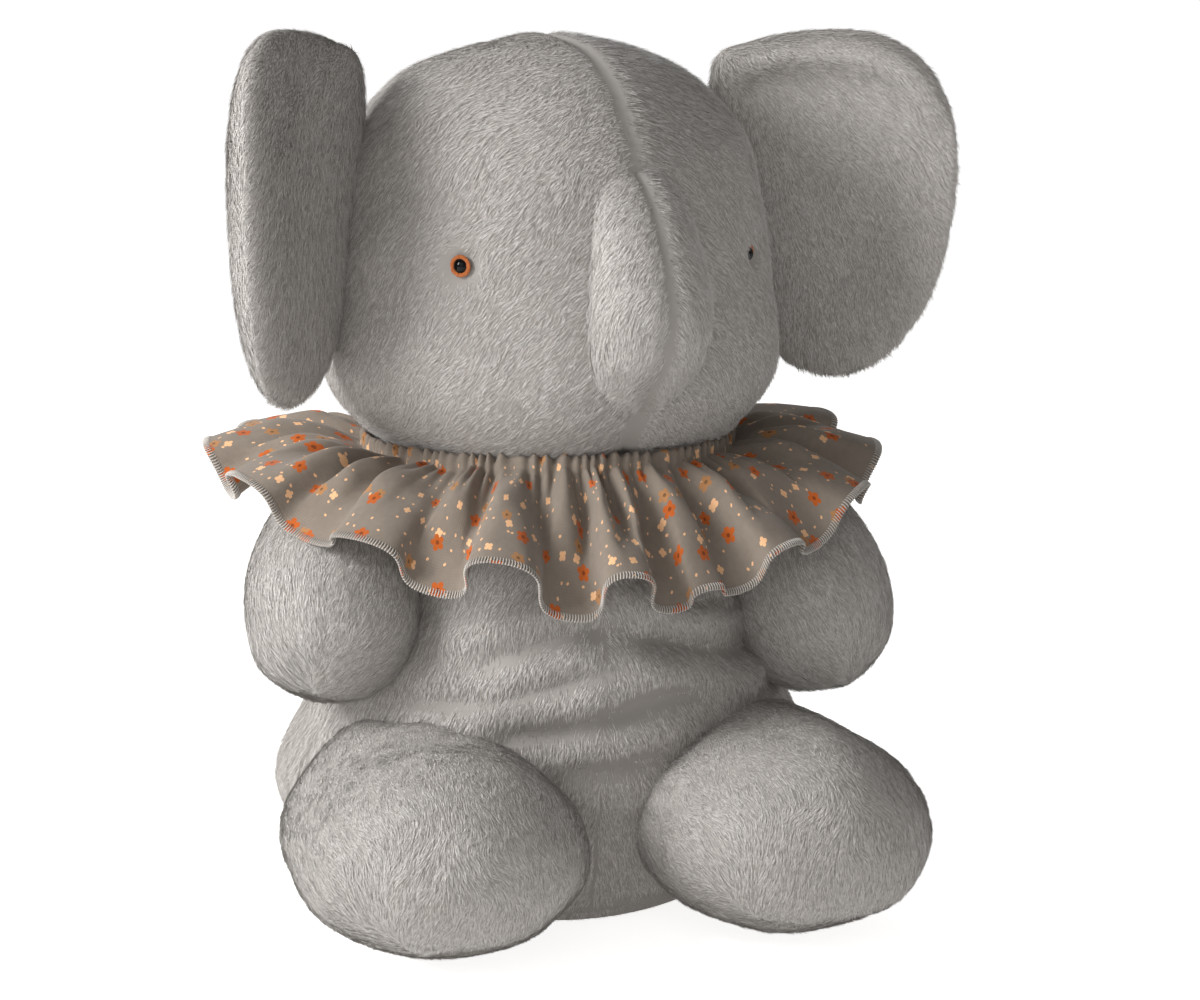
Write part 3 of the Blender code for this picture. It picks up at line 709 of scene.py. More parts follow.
class ELEPHANT_OT_torso(bpy.types.Operator):
    """The body: front and back fur panels over the filling, with the folds that its own weight presses in"""

    bl_idname = "elephant.torso"
    bl_label = "Torso"

    def execute(self, context):
        form = torso_form()
        points, normals, flip, rings, sides = skin_of(form.grid(120, SIDE_SEAM_Y))
        front = points[:, 1] < SIDE_SEAM_Y
        flat = points[:, [0, 2]]
        for width, depth, line in BELLY_FOLDS_MM:
            gap, share = line_distance(flat, np.array(line, float) * MM)
            fade = np.clip(np.sin(math.pi * np.clip(share, 0.04, 0.96)) * 1.6, 0, 1)
            press = depth * MM * bell(gap, width * MM)
            swell = 0.9 * depth * MM * bell(gap - 2.3 * width * MM, 1.3 * width * MM)
            points = raised_by(points, normals, (swell - press) * fade * front)
        lumps = soft_noise(points, 0.030, 5)[:, 0] * 0.0022 * (points[:, 2] > 0.012)
        points = raised_by(points, normals, lumps)
        seam_depth = context.scene.elephant_sizes.seam_depth
        points = press_seam(points, normals, points[:, 1] - SIDE_SEAM_Y, seam_depth)
        points[:, 2] = np.clip(points[:, 2], LOWEST_SKIN, None)

        def nap(root, normal):
            way = np.stack([0.25 * np.sign(root[:, 0]), 0 * root[:, 0], steady(-1, len(root))], 1)
            under = normal[:, 2] < -0.5
            way[under] = np.stack([root[under, 0], root[under, 1] + 0.001, steady(0, under.sum())], 1)
            return way, steady(0.30, len(root)), np.where(under, 0.35, 1.0)

        hidden = [(leg_form(word).holds, 0.010) for word in HIPS]
        hidden.append((lambda p, margin: (p[:, 2] > 0.230) & (np.hypot(p[:, 0], p[:, 1]) < margin), 0.070))
        names = ("torso_back_panel", "torso_front_panel")
        two_panels("torso", names, points, (rings, sides, flip), nap, (0.62, 1.15), hidden, 1, filled=1)
        return {"FINISHED"}


class ELEPHANT_OT_head(bpy.types.Operator):
    """The head: left and right fur panels that meet in a seam over the crown, where the pile parts"""

    bl_idname = "elephant.head"
    bl_label = "Head"

    def execute(self, context):
        form = head_form()
        grid = form.grid(144)
        points, normals, flip, rings, sides = skin_of(grid)
        points = raised_by(points, normals, soft_noise(points, 0.035, 8)[:, 0] * 0.0018)
        front_or_top = (points[:, 1] < 0.02) | (points[:, 2] > 0.43)
        depth = context.scene.elephant_sizes.seam_depth * np.where(front_or_top, 0.9, 0.6)
        points = press_seam(points, normals, points[:, 0], depth)
        eyes = [(to_head(np.array(centre)[None])[0], outward) for centre, outward, _ in eye_places()]
        for centre, _ in eyes:
            gap = np.linalg.norm(points - centre, axis=1)
            points = points - normals * (0.0035 * bell(gap, 0.009))[:, None]

        def nap(root, normal):
            near, out = to_head(root), normal @ HEAD_AXES
            x, y, z = near.T
            side = np.sign(x)
            way = np.stack([0.75 * side, 0.18 + 0 * x, -0.85 + 0 * x], 1)
            top = np.clip((z - 0.41) / 0.04, 0, 1)
            way[:, 1] -= 0.5 * top * (y < 0.02)
            parting = bell(x, 0.006) * ((y < 0.05) | (z > 0.43))
            way[:, 0] += side * 0.9 * parting
            brow = np.exp(-(((x + 0.018) / 0.034) ** 2 + ((z - 0.398) / 0.034) ** 2)) * (y < 0)
            lift = 0.31 + 0.40 * brow - 0.08 * parting
            scale = 1.0 - 0.25 * bell(x, SEAM_GAP) * ((y < 0.05) | (z > 0.43))
            scale = np.where(out[:, 2] < -0.85, 0.6, scale)
            for (centre, _), cleared in zip(eyes, (0.0030, 0.0062)):
                offset = near - centre
                gap = np.linalg.norm(offset, axis=1)
                close = bell(gap, 1.6 * cleared)
                way += 2.2 * close[:, None] * unit(offset)
                lift = lift - 0.25 * close
                scale = scale * (1 - 0.55 * close)
                scale = np.where(gap < cleared, 0.02, scale)
            return way @ HEAD_AXES.T, lift, scale

        names = ("head_left_panel", "head_right_panel")
        two_panels("head", names, points, (rings, sides, flip), nap, seed=3, on_head=True)
        return {"FINISHED"}


class ELEPHANT_OT_trunk(bpy.types.Operator):
    """The short fat trunk, two panels with a seam down its front"""

    bl_idname = "elephant.trunk"
    bl_label = "Trunk"

    def execute(self, context):
        points, normals, flip, rings, sides = skin_of(trunk_form().grid(64))
        points = press_seam(points, normals, points[:, 0], context.scene.elephant_sizes.seam_depth * 0.8)
        head = head_form()

        def nap(root, normal):
            near = to_head(root)
            x, _, z = near.T
            side = np.sign(x)
            way = np.stack([0.45 * side, 0.12 + 0 * x, -1 + 0 * x], 1)
            parting = bell(x, 0.005)
            way[:, 0] += 0.6 * side * parting
            low = np.clip((0.285 - z) / 0.02, 0, 1)
            scale = 1.0 - 0.2 * bell(x, SEAM_GAP)
            return way @ HEAD_AXES.T, 0.32 + 0.20 * low, scale

        hidden = [(lambda p, margin: head.holds(to_head(p), margin), 0.006)]
        names = ("trunk_left_panel", "trunk_right_panel")
        two_panels("trunk", names, points, (rings, sides, flip), nap, (1.25, 1.25), hidden, 5, on_head=True)
        return {"FINISHED"}


def ear_edge(steps):
    rows = np.array(EAR_EDGE_MM, float)
    run = np.concatenate([rows, rows[:1]])
    found = smooth_rows(run, steps, (rows[-1], rows[1]))[:-1]
    return (found - np.array(EAR_CENTRE_MM)) * MM


def ear_place(flat, ahead, side):
    """From the flat ear to the cupped ear on the head, in the head's frame."""
    out = flat[:, 0] + EAR_CENTRE_MM[0] * MM
    up = flat[:, 1] + EAR_CENTRE_MM[1] * MM
    bow = (out - 0.065) / 0.070
    ahead = ahead + EAR_CUP * (bow * bow - 1)
    out_way = np.array([math.cos(EAR_FLARE), -math.sin(EAR_FLARE), 0])
    ahead_way = np.array([-math.sin(EAR_FLARE), -math.cos(EAR_FLARE), 0])
    found = EAR_HINGE + out_way * out[:, None] + ahead_way * ahead[:, None]
    found[:, 2] = up
    found[:, 0] *= side
    return found


class ELEPHANT_OT_ears(bpy.types.Operator):
    """The wide soft ears, each a front and a back panel with wadding between, rolled forward along the top"""

    bl_idname = "elephant.ears"
    bl_label = "Ears"

    def execute(self, context):
        edge = ear_edge(9)
        count = len(edge)
        shares = np.sin(np.linspace(math.pi / 2, 0, 30))
        flat = (shares[:, None, None] * edge[None]).reshape(-1, 2)
        share = np.repeat(shares, count)
        top = np.clip((flat[:, 1] - 0.028) / 0.045, 0, 1)
        from_edge = (1 - share) * np.tile(np.linalg.norm(edge, axis=1), len(shares))
        plump = 0.0145 * np.sqrt(np.clip(1 - share**3.2, 0, 1))
        roll = 0.0085 * bell(from_edge - 0.013, 0.011) * top * np.clip((1 - share) / 0.05, 0, 1)
        for side, word, hollow, raised in ((1, "left", 0.0115, 0.0), (-1, "right", 0.0, 0.003)):
            dish = hollow * np.clip(1 - share**2, 0, 1) ** 0.8
            for facing, face in ((1, "front_panel"), (-1, "back_panel")):
                depth = plump + roll * (hollow > 0) - dish if facing == 1 else plump + 0.1 * dish
                near = ear_place(flat, facing * depth, side)
                near += soft_noise(near, 0.03, 17)[:, :1] * 0.0012 * np.array([0.5, 0.8, 0])
                near[:, 2] += raised * np.clip((near[:, 2] - 0.30) / 0.15, 0, 1)
                quads = grid_faces(len(shares), count, range(count))
                normals = vertex_normals(near, quads)
                ahead = np.array([-math.sin(EAR_FLARE) * side, -math.cos(EAR_FLARE), 0]) * facing
                if np.sum(normals @ ahead) < 0:
                    quads, normals = quads[:, ::-1], -normals
                hinge = EAR_HINGE * np.array([side, 1, 1]) + np.array([0, 0, 0.43])

                def nap(root, normal, hinge=hinge, facing=facing):
                    away = to_head(root) - hinge
                    away[:, 2] = np.minimum(away[:, 2], 0)
                    way = unit(away) + np.array([0, 0, -0.55])
                    return way @ HEAD_AXES.T, steady(0.32, len(root)), steady(0.95, len(root))

                name = f"ear_{word}_{face}"
                seed = 20 + 4 * (side > 0) + facing
                density = 1.1 if facing == 1 else 0.9
                part = from_head(near), normals @ HEAD_AXES.T, quads
                stands_for = [name, f"ear_{word}_padding"] if facing == 1 else [name]
                fur_panel(f"{name}_fur", f"ear_{word}", stands_for, *part, nap, density, (), seed)
        return {"FINISHED"}


def limb_panels(form, grid_sides, first_turn, names, body, nap, densities, seed, lumps=0.0016):
    """The two fur panels of an arm or a leg, with its lumps and its seams."""
    points, normals, flip, rings, sides = skin_of(form.grid(grid_sides, first_turn))
    points = raised_by(points, normals, soft_noise(points, 0.028, seed)[:, 0] * lumps)
    distance = (points - form.start) @ (form.across if first_turn else form.upward)
    points = press_seam(points, normals, distance, bpy.context.scene.elephant_sizes.seam_depth * 0.3)
    points[:, 2] = np.maximum(points[:, 2], LOWEST_SKIN)
    hidden = [(torso_form().holds, 0.008)]
    two_panels(body, names, points, (rings, sides, flip), nap, densities, hidden, seed)


class ELEPHANT_OT_arms(bpy.types.Operator):
    """The arms, plump teardrops sewn on at the shoulders"""

    bl_idname = "elephant.arms"
    bl_label = "Arms"

    def execute(self, context):
        for side, word in ((1, "left"), (-1, "right")):
            form = arm_form(side)

            def nap(root, normal, form=form, side=side):
                way = form.along + np.array([0.15 * side, 0, 0])
                way = np.repeat(way[None], len(root), 0)
                end = normal @ form.along > 0.75
                return way, np.where(end, 0.34, 0.20), steady(1, len(root))

            first_is_outer = form.across[0] * side > 0
            names = [f"arm_{word}_outer_panel", f"arm_{word}_inner_panel"]
            densities = [1.1, 0.9]
            if not first_is_outer:
                names, densities = names[::-1], densities[::-1]
            limb_panels(form, 72, -math.pi / 2, names, f"arm_{word}", nap, densities, 40 + 5 * side)
        return {"FINISHED"}


class ELEPHANT_OT_legs(bpy.types.Operator):
    """The legs, stuffed tubes that end in round soles, where the pile fans out"""

    bl_idname = "elephant.legs"
    bl_label = "Legs"

    def execute(self, context):
        for word in HIPS:
            form = leg_form(word)

            def nap(root, normal, form=form):
                way = np.repeat((form.along + np.array([0, 0, -0.25]))[None], len(root), 0)
                facing = normal @ form.along
                sole = np.clip((facing - 0.45) / 0.35, 0, 1)
                offset = root - form.start
                radial = offset - form.along * (offset @ form.along)[:, None]
                spread = np.linalg.norm(radial, axis=1)
                stray = soft_noise(root, 0.012, 77) * (sole * bell(spread, 0.024))[:, None]
                fall = np.array([0, -0.2, -0.9]) + unit(radial) * 0.35
                way = way * (1 - sole)[:, None] + fall * (1.4 * sole)[:, None] + 1.2 * stray
                lift = 0.20 + 0.14 * sole
                under = root[:, 2] < 0.006
                return way, lift, np.where(under, 0.4, 1.0)

            names = [f"leg_{word}_upper_panel", f"leg_{word}_lower_panel"]
            seed = 60 if word == "left" else 70
            limb_panels(form, 96, 0.0, names, f"leg_{word}", nap, (1.25, 1.0), seed, 0.0022)
        return {"FINISHED"}


class ELEPHANT_OT_tail(bpy.types.Operator):
    """The short fur tail with a fuller end"""

    bl_idname = "elephant.tail"
    bl_label = "Tail"

    def execute(self, context):
        end = TAIL_ROOT + np.array([0, 0.30, -1]) * 0.05
        form = LimbForm(TAIL_RINGS_MM, 6, TAIL_ROOT, end)
        points, normals, flip, rings, sides = skin_of(form.grid(24, 0.0))
        quads = np.concatenate([panel_quads(rings, sides, k, flip) for k in (0, 1)])

        def nap(root, normal):
            tuft = np.clip(((root - form.start) @ form.along - 0.045) / 0.02, 0, 1)
            way = np.repeat(form.along[None], len(root), 0)
            return way, steady(0.42, len(root)), 0.6 + 0.6 * tuft

        fur_panel("tail_fur", "tail", ["tail"], points, normals, quads, nap, 2.0, (), 90)
        return {"FINISHED"}


def eye_places():
    """(centre, outward, word) of each eye's cap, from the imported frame."""
    found = []
    for word in ("left", "right"):
        low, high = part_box(f"eye_{word}_cap")
        back_low, back_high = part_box(f"eye_{word}_washer")
        centre = (low + high) / 2
        outward = (centre - (back_low + back_high) / 2).normalized()
        low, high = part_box(f"eye_{word}_ring")
        found.append(((low + high) / 2, outward, word))
    return found


def turned_grid(profile, sides, place):
    """A turned shape's grid: profile rows of (radius, height) about place's Z axis."""
    turns = 2 * math.pi * np.arange(sides) / sides
    radius, height = np.array(profile, float).T
    grid = np.stack(
        [
            radius[:, None] * np.cos(turns),
            radius[:, None] * np.sin(turns),
            np.repeat(height[:, None], sides, 1),
        ],
        2,
    )
    matrix = np.array(place)
    return grid @ matrix[:3, :3].T + matrix[:3, 3]


def closed_grid_mesh(name, grid, wrap_rings=False):
    """A mesh over a ring grid. wrap_rings joins the last ring to the first, as in a torus."""
    rings, sides = grid.shape[:2]
    points = grid.reshape(-1, 3)
    quads = grid_faces(rings, sides, range(sides))
    if wrap_rings:
        last = grid_faces(2, sides, range(sides))
        joined = np.where(last >= sides, last - sides, last + (rings - 1) * sides)
        quads = np.concatenate([quads, joined])
    mesh = set_mesh(name, points, quads.reshape(-1), 4 * np.arange(len(quads)), np.zeros(len(quads), int))
    shape = bmesh.new()
    shape.from_mesh(mesh)
    bmesh.ops.remove_doubles(shape, verts=shape.verts, dist=1e-6)
    bmesh.ops.recalc_face_normals(shape, faces=shape.faces)
    for face in shape.faces:
        face.smooth = True
    shape.to_mesh(mesh)
    shape.free()
    return mesh


# The eye in metres. Its cap stands out from the ring's box centre by its own amount on each side of the head.
CAP_OUT = {"left": -0.0022, "right": 0.0024}
CAP_RADIUS, CAP_RISE, CAP_FOOT = 0.0038, 0.0030, ((0.0038, -0.0012), (0.0030, -0.0026), (0.0, -0.0026))
RING_RADIUS, RING_CENTRE, RING_HALF = 0.0045, 0.0006, (0.00105, 0.0009)


class ELEPHANT_OT_eyes(bpy.types.Operator):
    """The eyes: a polished black cap in a rough rust ring, pressed into the fur"""

    bl_idname = "elephant.eyes"
    bl_label = "Eyes"

    def execute(self, context):
        colours = context.scene.elephant_colours
        # Polished ABS: black all through, with a clear gloss that mirrors the lights.
        cap_finish, _, _ = new_material(
            "polished black ABS", Base_Color=(0.002, 0.002, 0.002, 1), Roughness=0.04, Specular_IOR_Level=0.22
        )
        ring_finish = mottled(
            "rust wool felt", list(colours.ring), 0.0012, 0.45, Roughness=0.9, Sheen_Weight=0.3
        )
        for centre, outward, word in eye_places():
            spin = outward.to_track_quat("Z", "Y").to_matrix().to_4x4()
            place = Matrix.Translation(centre + outward * CAP_OUT[word]) @ spin
            curve = np.linspace(0, math.pi / 2, 14)
            profile = [(CAP_RADIUS * math.sin(t), CAP_RISE * math.cos(t)) for t in curve] + list(CAP_FOOT)
            profile[0] = (0.0, profile[0][1])
            mesh = closed_grid_mesh(f"eye_{word}_cap_polished", turned_grid(profile, 48, place))
            add_piece(f"eye_{word}_cap_polished", mesh, [cap_finish], "head", [f"eye_{word}_cap"])
            section = np.linspace(0, 2 * math.pi, 20, endpoint=False)
            wide, tall = RING_HALF
            profile = [(RING_RADIUS + wide * math.cos(t), RING_CENTRE + tall * math.sin(t)) for t in section]
            grid = turned_grid(profile, 120, place)
            flat = grid.reshape(-1, 3)
            flat = flat + soft_noise(flat, 0.0009, 33) * 0.00028 + soft_noise(flat, 0.0004, 34) * 0.0001
            mesh = closed_grid_mesh(f"eye_{word}_ring_felt", flat.reshape(grid.shape), wrap_rings=True)
            add_piece(f"eye_{word}_ring_felt", mesh, [ring_finish], "head", [f"eye_{word}_ring"])
        return {"FINISHED"}


# The hem's waves, once round from the elephant's right side: (turn from its front in degrees, rise as a share
# of the wave depth). The cloth turns over at each of them.
HEM_WAVES = (
    (-89, -1.0), (-75, 0.9), (-61, -0.8), (-48, 0.45), (-34.5, -1.1), (-23.5, 1.15), (-7.5, -1.15),
    (0.5, 0.9), (12, -1.05), (18, -0.35), (26, -1.0), (36, 0.35), (45, -0.75), (57, 0.9), (70, -0.9),
    (82, 0.7), (96, -0.9), (108, 0.9), (121, -0.8), (133, 1.0), (146, -1.0), (158, 0.8), (171, -0.9),
    (183, 1.0), (196, -1.0), (207, 0.7), (220, -0.9), (233, 1.0), (246, -0.9), (258, 0.8), (271, -1.0),
)
# The casing over the elastic, from its inside, over the little frill and down its outside: (radius, height).
CASING = (
    (0.0915, 0.2375), (0.0920, 0.2405), (0.0935, 0.2435), (0.0952, 0.2468), (0.0966, 0.2482),
    (0.0976, 0.2464), (0.0980, 0.2440), (0.0982, 0.2420),
)
NECKLINE = (0.0986, 0.2400)


def collar_line(turn, down):
    """(radius, height) of the ruffle's fall without its waves, for arrays of turn and of share down from the
    neckline at 0 to the hem at 1."""
    side_share = np.sin(turn) ** 2
    hem_radius = 0.156 - 0.006 * np.cos(turn) + 0.020 * side_share
    hem_height = 0.202 - 0.016 * np.cos(turn) + 0.030 * side_share
    bulge = (0.003 + 0.007 * side_share) * np.sin(math.pi * down)
    radius, height = NECKLINE
    return radius + (hem_radius - radius) * down, height + (hem_height - height) * down + bulge


def hem_wave(turn):
    """The rise of the waves at each turn, as a share of their depth, and the cloth's shift round the neck that
    makes each wave round, as a share of its own width."""
    stops = np.radians([place for place, _ in HEM_WAVES])
    rises = np.array([rise for _, rise in HEM_WAVES])
    place = (turn - stops[0]) % (2 * math.pi) + stops[0]
    after = np.clip(np.searchsorted(stops, place, side="right"), 1, len(stops) - 1)
    gap = stops[after] - stops[after - 1]
    share = (place - stops[after - 1]) / gap
    rise = rises[after - 1] + (rises[after] - rises[after - 1]) * (1 - np.cos(math.pi * share)) / 2
    return rise, 0.165 * gap * np.sin(2 * math.pi * share)


def crimp(turn, ahead=0.0):
    """The elastic's tight crimps, uneven round the neck, from -1 to 1."""
    uneven = 0.72 + 0.28 * np.sin(17 * turn + 0.6 + 2.1 * np.sin(3 * turn))
    return uneven * np.cos(98 * turn + 2.6 * np.sin(9 * turn) + 1.5 * np.sin(23 * turn + 1.0) + ahead)


def collar_points(turn, down, wave_depth):
    """The gathered cloth below the casing: tight gathers that open into broad soft waves at the hem."""
    radius, height = collar_line(turn, down)
    rise, shift = hem_wave(turn)
    grown = down**1.3
    pleat = np.cos(31 * turn + 1.1 + 1.9 * np.sin(5 * turn) + 0.9 * np.sin(11 * turn))
    second = 0.0056 * bell(down - 0.36, 0.32) * (np.abs(pleat) ** 0.7 * np.sign(pleat))
    near_neck = bell(down, 0.22)
    gathers = 0.0021 * near_neck * crimp(turn)
    out = np.stack([np.sin(turn), -np.cos(turn), 0 * turn], -1)
    round_way = np.stack([np.cos(turn), np.sin(turn), 0 * turn], -1)
    lean = out * 0.45 + np.array([0, 0, 0.88])
    found = COLLAR_CENTRE + out * radius[..., None]
    found = found + lean * (wave_depth * grown * rise + second + gathers)[..., None]
    found = found + round_way * (shift * radius * grown)[..., None]
    found[..., 2] += height
    crumple = soft_noise(found.reshape(-1, 3), 0.011, 51).reshape(found.shape)
    return found + crumple * (0.0009 * np.minimum(1, 6 * down * (1 - down)))[..., None]


def casing_points(turn):
    """The casing and its frill, crimped all the way round by the elastic inside."""
    rows = []
    for k, (radius, height) in enumerate(CASING):
        frill = 3 <= k <= 5
        wave = (0.0010 + 0.0009 * frill) * crimp(turn, 0.9 if k < 4 else 0.0)
        out = np.stack([np.sin(turn), -np.cos(turn), 0 * turn], -1)
        row = COLLAR_CENTRE + out * (radius + wave)[..., None]
        row[..., 2] += height + frill * (0.7 * wave + 0.0006 * np.sin(61 * turn + 2.0 * np.sin(13 * turn)))
        rows.append(row)
    return np.stack(rows)


COLLAR_COLUMNS, COLLAR_ROWS = 1000, 34
CLOTH_THICKNESS = 0.0006
THREAD_RADIUS = 0.00032
STEPS_PER_STITCH = 10


class ELEPHANT_OT_collar(bpy.types.Operator):
    """The collar: a gathered ring of printed cotton over an elastic, with an overlocked hem"""

    bl_idname = "elephant.collar"
    bl_label = "Collar"

    def execute(self, context):
        settings, colours = context.scene.elephant_sizes, context.scene.elephant_colours
        columns = COLLAR_COLUMNS
        turn = 2 * math.pi * np.arange(columns) / columns
        fall = collar_points(*np.meshgrid(turn, np.linspace(0, 1, COLLAR_ROWS)), settings.wave_depth)
        grid = np.concatenate([casing_points(turn), fall])
        rings = len(grid)
        quads = grid_faces(rings, columns, range(columns))[:, ::-1]
        points = grid.reshape(-1, 3)
        count = len(quads)
        corner, starts = quads.reshape(-1), 4 * np.arange(count)
        mesh = set_mesh("collar_ruffle_cotton", points, corner, starts, np.zeros(count, int))
        hem_step = np.linalg.norm(np.roll(grid[-1], -1, axis=0) - grid[-1], axis=1)
        hem_length = hem_step.sum()
        row_steps = np.linalg.norm(np.diff(grid, axis=0), axis=2).mean(axis=1)
        depth = np.concatenate([[0], np.cumsum(row_steps)])
        along = np.concatenate([[0], np.cumsum(hem_step)])
        cut = mesh.uv_layers.new(name="cut")
        column = corner % columns
        wraps = (quads % columns == 0) & ((quads % columns == columns - 1).any(axis=1))[:, None]
        u = np.where(wraps.reshape(-1), hem_length, along[column])
        uv = np.stack([u, depth[corner // columns]], 1)
        cut.data.foreach_set("uv", uv.astype(np.float32).ravel())
        finish = [printed_cotton(colours)]
        cotton = add_piece("collar_ruffle_cotton", mesh, finish, "collar", ["collar_ruffle"])
        thick = cotton.modifiers.new("cloth thickness", "SOLIDIFY")
        thick.thickness = CLOTH_THICKNESS
        thick.offset = 0
        hem = self.overlock(grid, hem_length, settings, colours)
        return {"FINISHED"}

    def overlock(self, grid, hem_length, settings, colours):
        """The overlocked hem: thread wound round and round the raw edge."""
        hem, inner = grid[-1], grid[-2]
        stitches = int(hem_length / settings.hem_pitch)
        count = stitches * STEPS_PER_STITCH
        share = np.arange(count) / count
        step = np.linalg.norm(np.roll(hem, -1, axis=0) - hem, axis=1)
        place = np.concatenate([[0], np.cumsum(step)]) / step.sum()
        looped = np.concatenate([hem, hem[:1]])
        inward = unit(inner - hem)
        looped_in = np.concatenate([inward, inward[:1]])
        edge = np.stack([np.interp(share, place, looped[:, k]) for k in range(3)], 1)
        up_cloth = unit(np.stack([np.interp(share, place, looped_in[:, k]) for k in range(3)], 1))
        tangent = unit(np.roll(edge, -1, axis=0) - np.roll(edge, 1, axis=0))
        facing = unit(np.cross(tangent, up_cloth))
        wind = 2 * math.pi * stitches * share
        path = edge + up_cloth * (0.0017 + 0.0020 * np.cos(wind))[:, None]
        path = path + facing * (0.00065 * np.sin(wind))[:, None]
        path = path + tangent * (0.0006 * np.sin(wind + 0.8))[:, None]
        run = unit(np.roll(path, -1, axis=0) - np.roll(path, 1, axis=0))
        first = unit(np.cross(run, tangent + 0.01))
        second = np.cross(run, first)
        turns = 2 * math.pi * np.arange(5) / 5
        thread = path[:, None] + THREAD_RADIUS * (
            first[:, None] * np.cos(turns)[None, :, None] + second[:, None] * np.sin(turns)[None, :, None]
        )
        mesh = closed_grid_mesh("collar_hem_overlock", thread, wrap_rings=True)
        # Spun polyester thread: matt, each wind a little shiny along its top.
        thread_finish, _, _ = new_material(
            "spun polyester thread", Base_Color=opaque(colours.thread), Roughness=0.7, Sheen_Weight=0.2
        )
        return add_piece("collar_hem_overlock", mesh, [thread_finish], "collar", [])


class ELEPHANT_OT_filling(bpy.types.Operator):
    """Finishes of what is inside: fibre filling, the bag of beads, the elastic and the eyes' washers"""

    bl_idname = "elephant.filling"
    bl_label = "Filling"

    def execute(self, context):
        fibre = mottled("polyester fibre filling", linear("#eeece6"), 0.006, 0.06, Roughness=0.95)
        beads = mottled("woven bead pouch", linear("#cfc9bd"), 0.003, 0.12, Roughness=0.85)
        moulded = mottled("moulded nylon washer", linear("#dcdad2"), 0.010, 0.04, Roughness=0.4)
        elastic = mottled("braided elastic", linear("#d9d4ca"), 0.002, 0.10, Roughness=0.8)
        finish = {"filling": fibre, "padding": fibre, "bag": beads, "washer": moulded, "elastic": elastic}
        for name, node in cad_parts.items():
            kind = name.rsplit("_", 1)[-1]
            if kind not in finish:
                continue
            for index in range(len(node.material_slots)):
                node.material_slots[index].material = finish[kind]
        return {"FINISHED"}


# How strongly each glows: (the light that it casts, as the camera sees it).
PAPER_LIGHT = (0.25, 0.80)
BACKDROP_LIGHT = (0.27, 1.0)
CAMERA_TURN, CAMERA_RISE, CAMERA_DISTANCE = math.radians(-15), math.radians(9.5), 1.77
CAMERA_TARGET = Vector((0.0268, -0.0034, 0.210))
LIT_PLACE = Vector((0, -0.02, 0.22))
# Each light: (name, how far right, back towards the camera and up it is in metres, its size, its power).
LIGHTS = (
    ("key_light", -1.22, 0.72, 0.60, 0.7, 31), ("fill_light", -0.4, 1.9, 0.6, 1.6, 6),
    ("rim_light", -0.6, -1.4, 1.3, 1.0, 8),
)


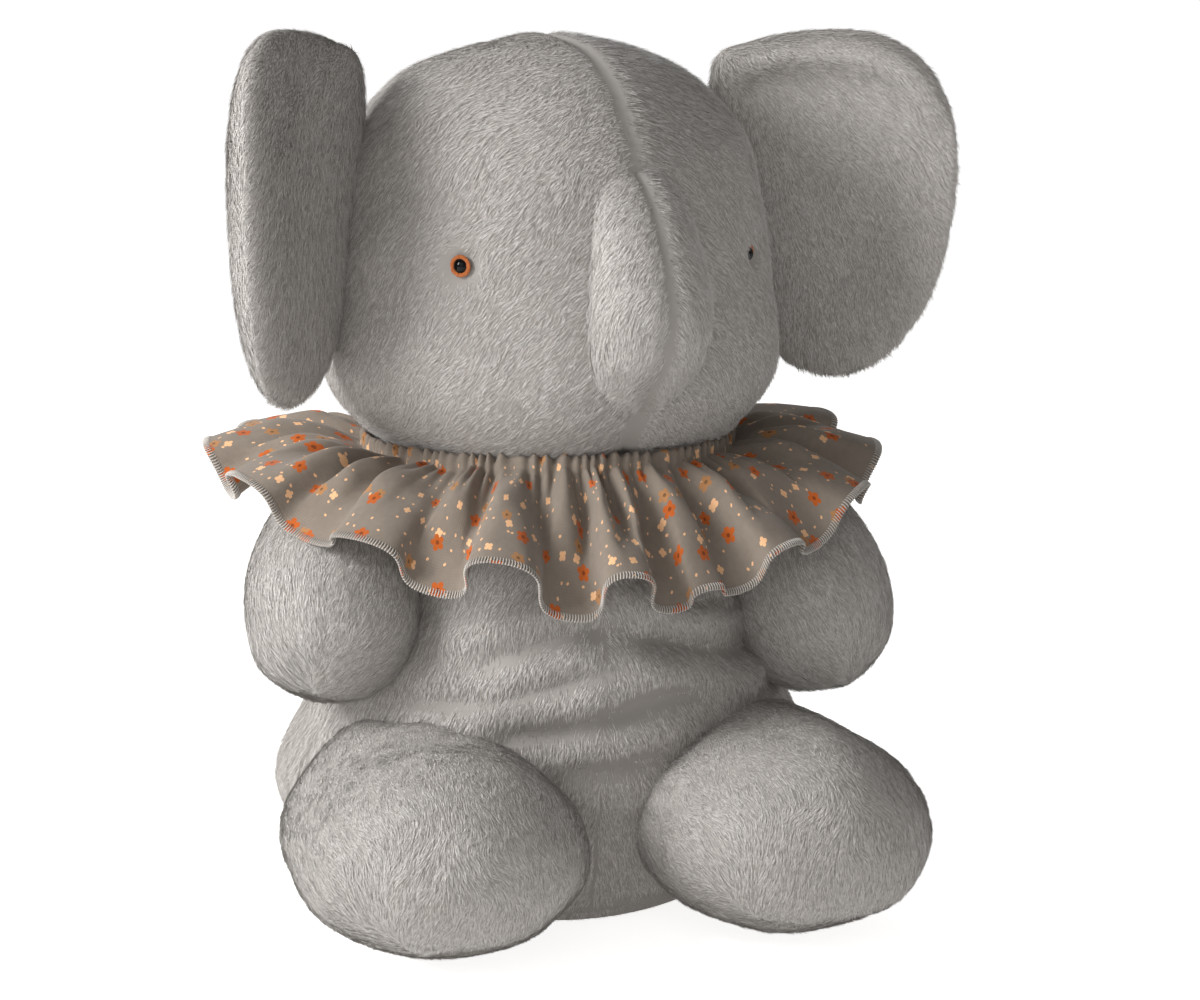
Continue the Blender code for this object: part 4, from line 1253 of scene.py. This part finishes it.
class ELEPHANT_OT_stage(bpy.types.Operator):
    """A pale floor, soft studio light from the upper left, and the camera"""

    bl_idname = "elephant.stage"
    bl_label = "Stage"

    def execute(self, context):
        scene = context.scene
        colours = scene.elephant_colours
        shape = bmesh.new()
        bmesh.ops.create_grid(shape, x_segments=8, y_segments=8, size=FLOOR_REACH)
        mesh = bpy.data.meshes.new("studio_floor")
        shape.to_mesh(mesh)
        shape.free()
        floor = bpy.data.objects.new("studio_floor", mesh)
        scene.collection.objects.link(floor)
        # Matt white paper lit from behind as well, as in a studio sweep: it shows soft shadows and no edge.
        paper = mottled(
            "matt paper roll", list(colours.floor), 0.4, 0.01, Roughness=0.9, Emission_Color=(1, 1, 1, 1)
        )
        mesh.materials.append(paper)

        world = bpy.data.worlds.new("studio")
        scene.world = world
        world.use_nodes = True
        sky = world.node_tree.nodes["Background"]
        sky.inputs["Color"].default_value = (1, 1, 1, 1)
        # A white studio: the backdrop and the floor are seen white, and the light that they cast is softer.
        shader = paper.node_tree.nodes["Principled BSDF"]
        for tree, strength, (cast, seen) in (
            (paper.node_tree, shader.inputs["Emission Strength"], PAPER_LIGHT),
            (world.node_tree, sky.inputs["Strength"], BACKDROP_LIGHT),
        ):
            camera_ray = add_node(tree, "ShaderNodeLightPath").outputs["Is Camera Ray"]
            level = add_node(tree, "ShaderNodeMapRange", Value=camera_ray, To_Min=cast, To_Max=seen)
            tree.links.new(level.outputs["Result"], strength)
        scene.view_settings.view_transform = "Standard"

        turn, rise = CAMERA_TURN, CAMERA_RISE
        back = Vector((math.sin(turn) * math.cos(rise), -math.cos(turn) * math.cos(rise), math.sin(rise)))
        right = Vector((math.cos(turn), math.sin(turn), 0))
        data = bpy.data.cameras.new("studio_camera")
        data.lens, data.sensor_width = 100, 36
        camera = bpy.data.objects.new("studio_camera", data)
        scene.collection.objects.link(camera)
        camera.location = CAMERA_TARGET + back * CAMERA_DISTANCE
        camera.rotation_euler = back.to_track_quat("Z", "Y").to_euler()
        scene.camera = camera

        for name, sideways, nearer, up, size, power in LIGHTS:
            offset = right * sideways + back * nearer + Vector((0, 0, up))
            lamp = bpy.data.lights.new(name, "AREA")
            lamp.size, lamp.energy = size, power
            light = bpy.data.objects.new(name, lamp)
            scene.collection.objects.link(light)
            light.location = LIT_PLACE + offset
            light.rotation_euler = offset.to_track_quat("Z", "Y").to_euler()
        return {"FINISHED"}


OPERATORS = (
    ELEPHANT_OT_stage,
    ELEPHANT_OT_collar,
    ELEPHANT_OT_torso,
    ELEPHANT_OT_head,
    ELEPHANT_OT_trunk,
    ELEPHANT_OT_ears,
    ELEPHANT_OT_arms,
    ELEPHANT_OT_legs,
    ELEPHANT_OT_tail,
    ELEPHANT_OT_eyes,
    ELEPHANT_OT_filling,
)


class ELEPHANT_PT_panel(bpy.types.Panel):
    """Sizes, colours and the steps that build the elephant"""

    bl_idname = "ELEPHANT_PT_panel"
    bl_label = "Stuffed Elephant"
    bl_space_type = "VIEW_3D"
    bl_region_type = "UI"
    bl_category = "Elephant"

    def draw(self, context):
        for settings in (context.scene.elephant_sizes, context.scene.elephant_colours):
            box = self.layout.box()
            for key in settings.__annotations__:
                box.prop(settings, key)
        for operator in OPERATORS:
            self.layout.operator(operator.bl_idname)


CLASSES = (ElephantSizes, ElephantColours, *OPERATORS, ELEPHANT_PT_panel)


def register():
    for each in CLASSES:
        bpy.utils.register_class(each)
    bpy.types.Scene.elephant_sizes = bpy.props.PointerProperty(type=ElephantSizes)
    bpy.types.Scene.elephant_colours = bpy.props.PointerProperty(type=ElephantColours)


def unregister():
    del bpy.types.Scene.elephant_colours
    del bpy.types.Scene.elephant_sizes
    for each in reversed(CLASSES):
        bpy.utils.unregister_class(each)


def main():
    register()
    for name in ("Cube", "Light", "Camera"):
        if name in bpy.data.objects:
            bpy.data.objects.remove(bpy.data.objects[name])
    for operator in OPERATORS:
        step = operator.bl_idname.split(".")[1]
        getattr(bpy.ops.elephant, step)()


if __name__ == "__main__":
    main()
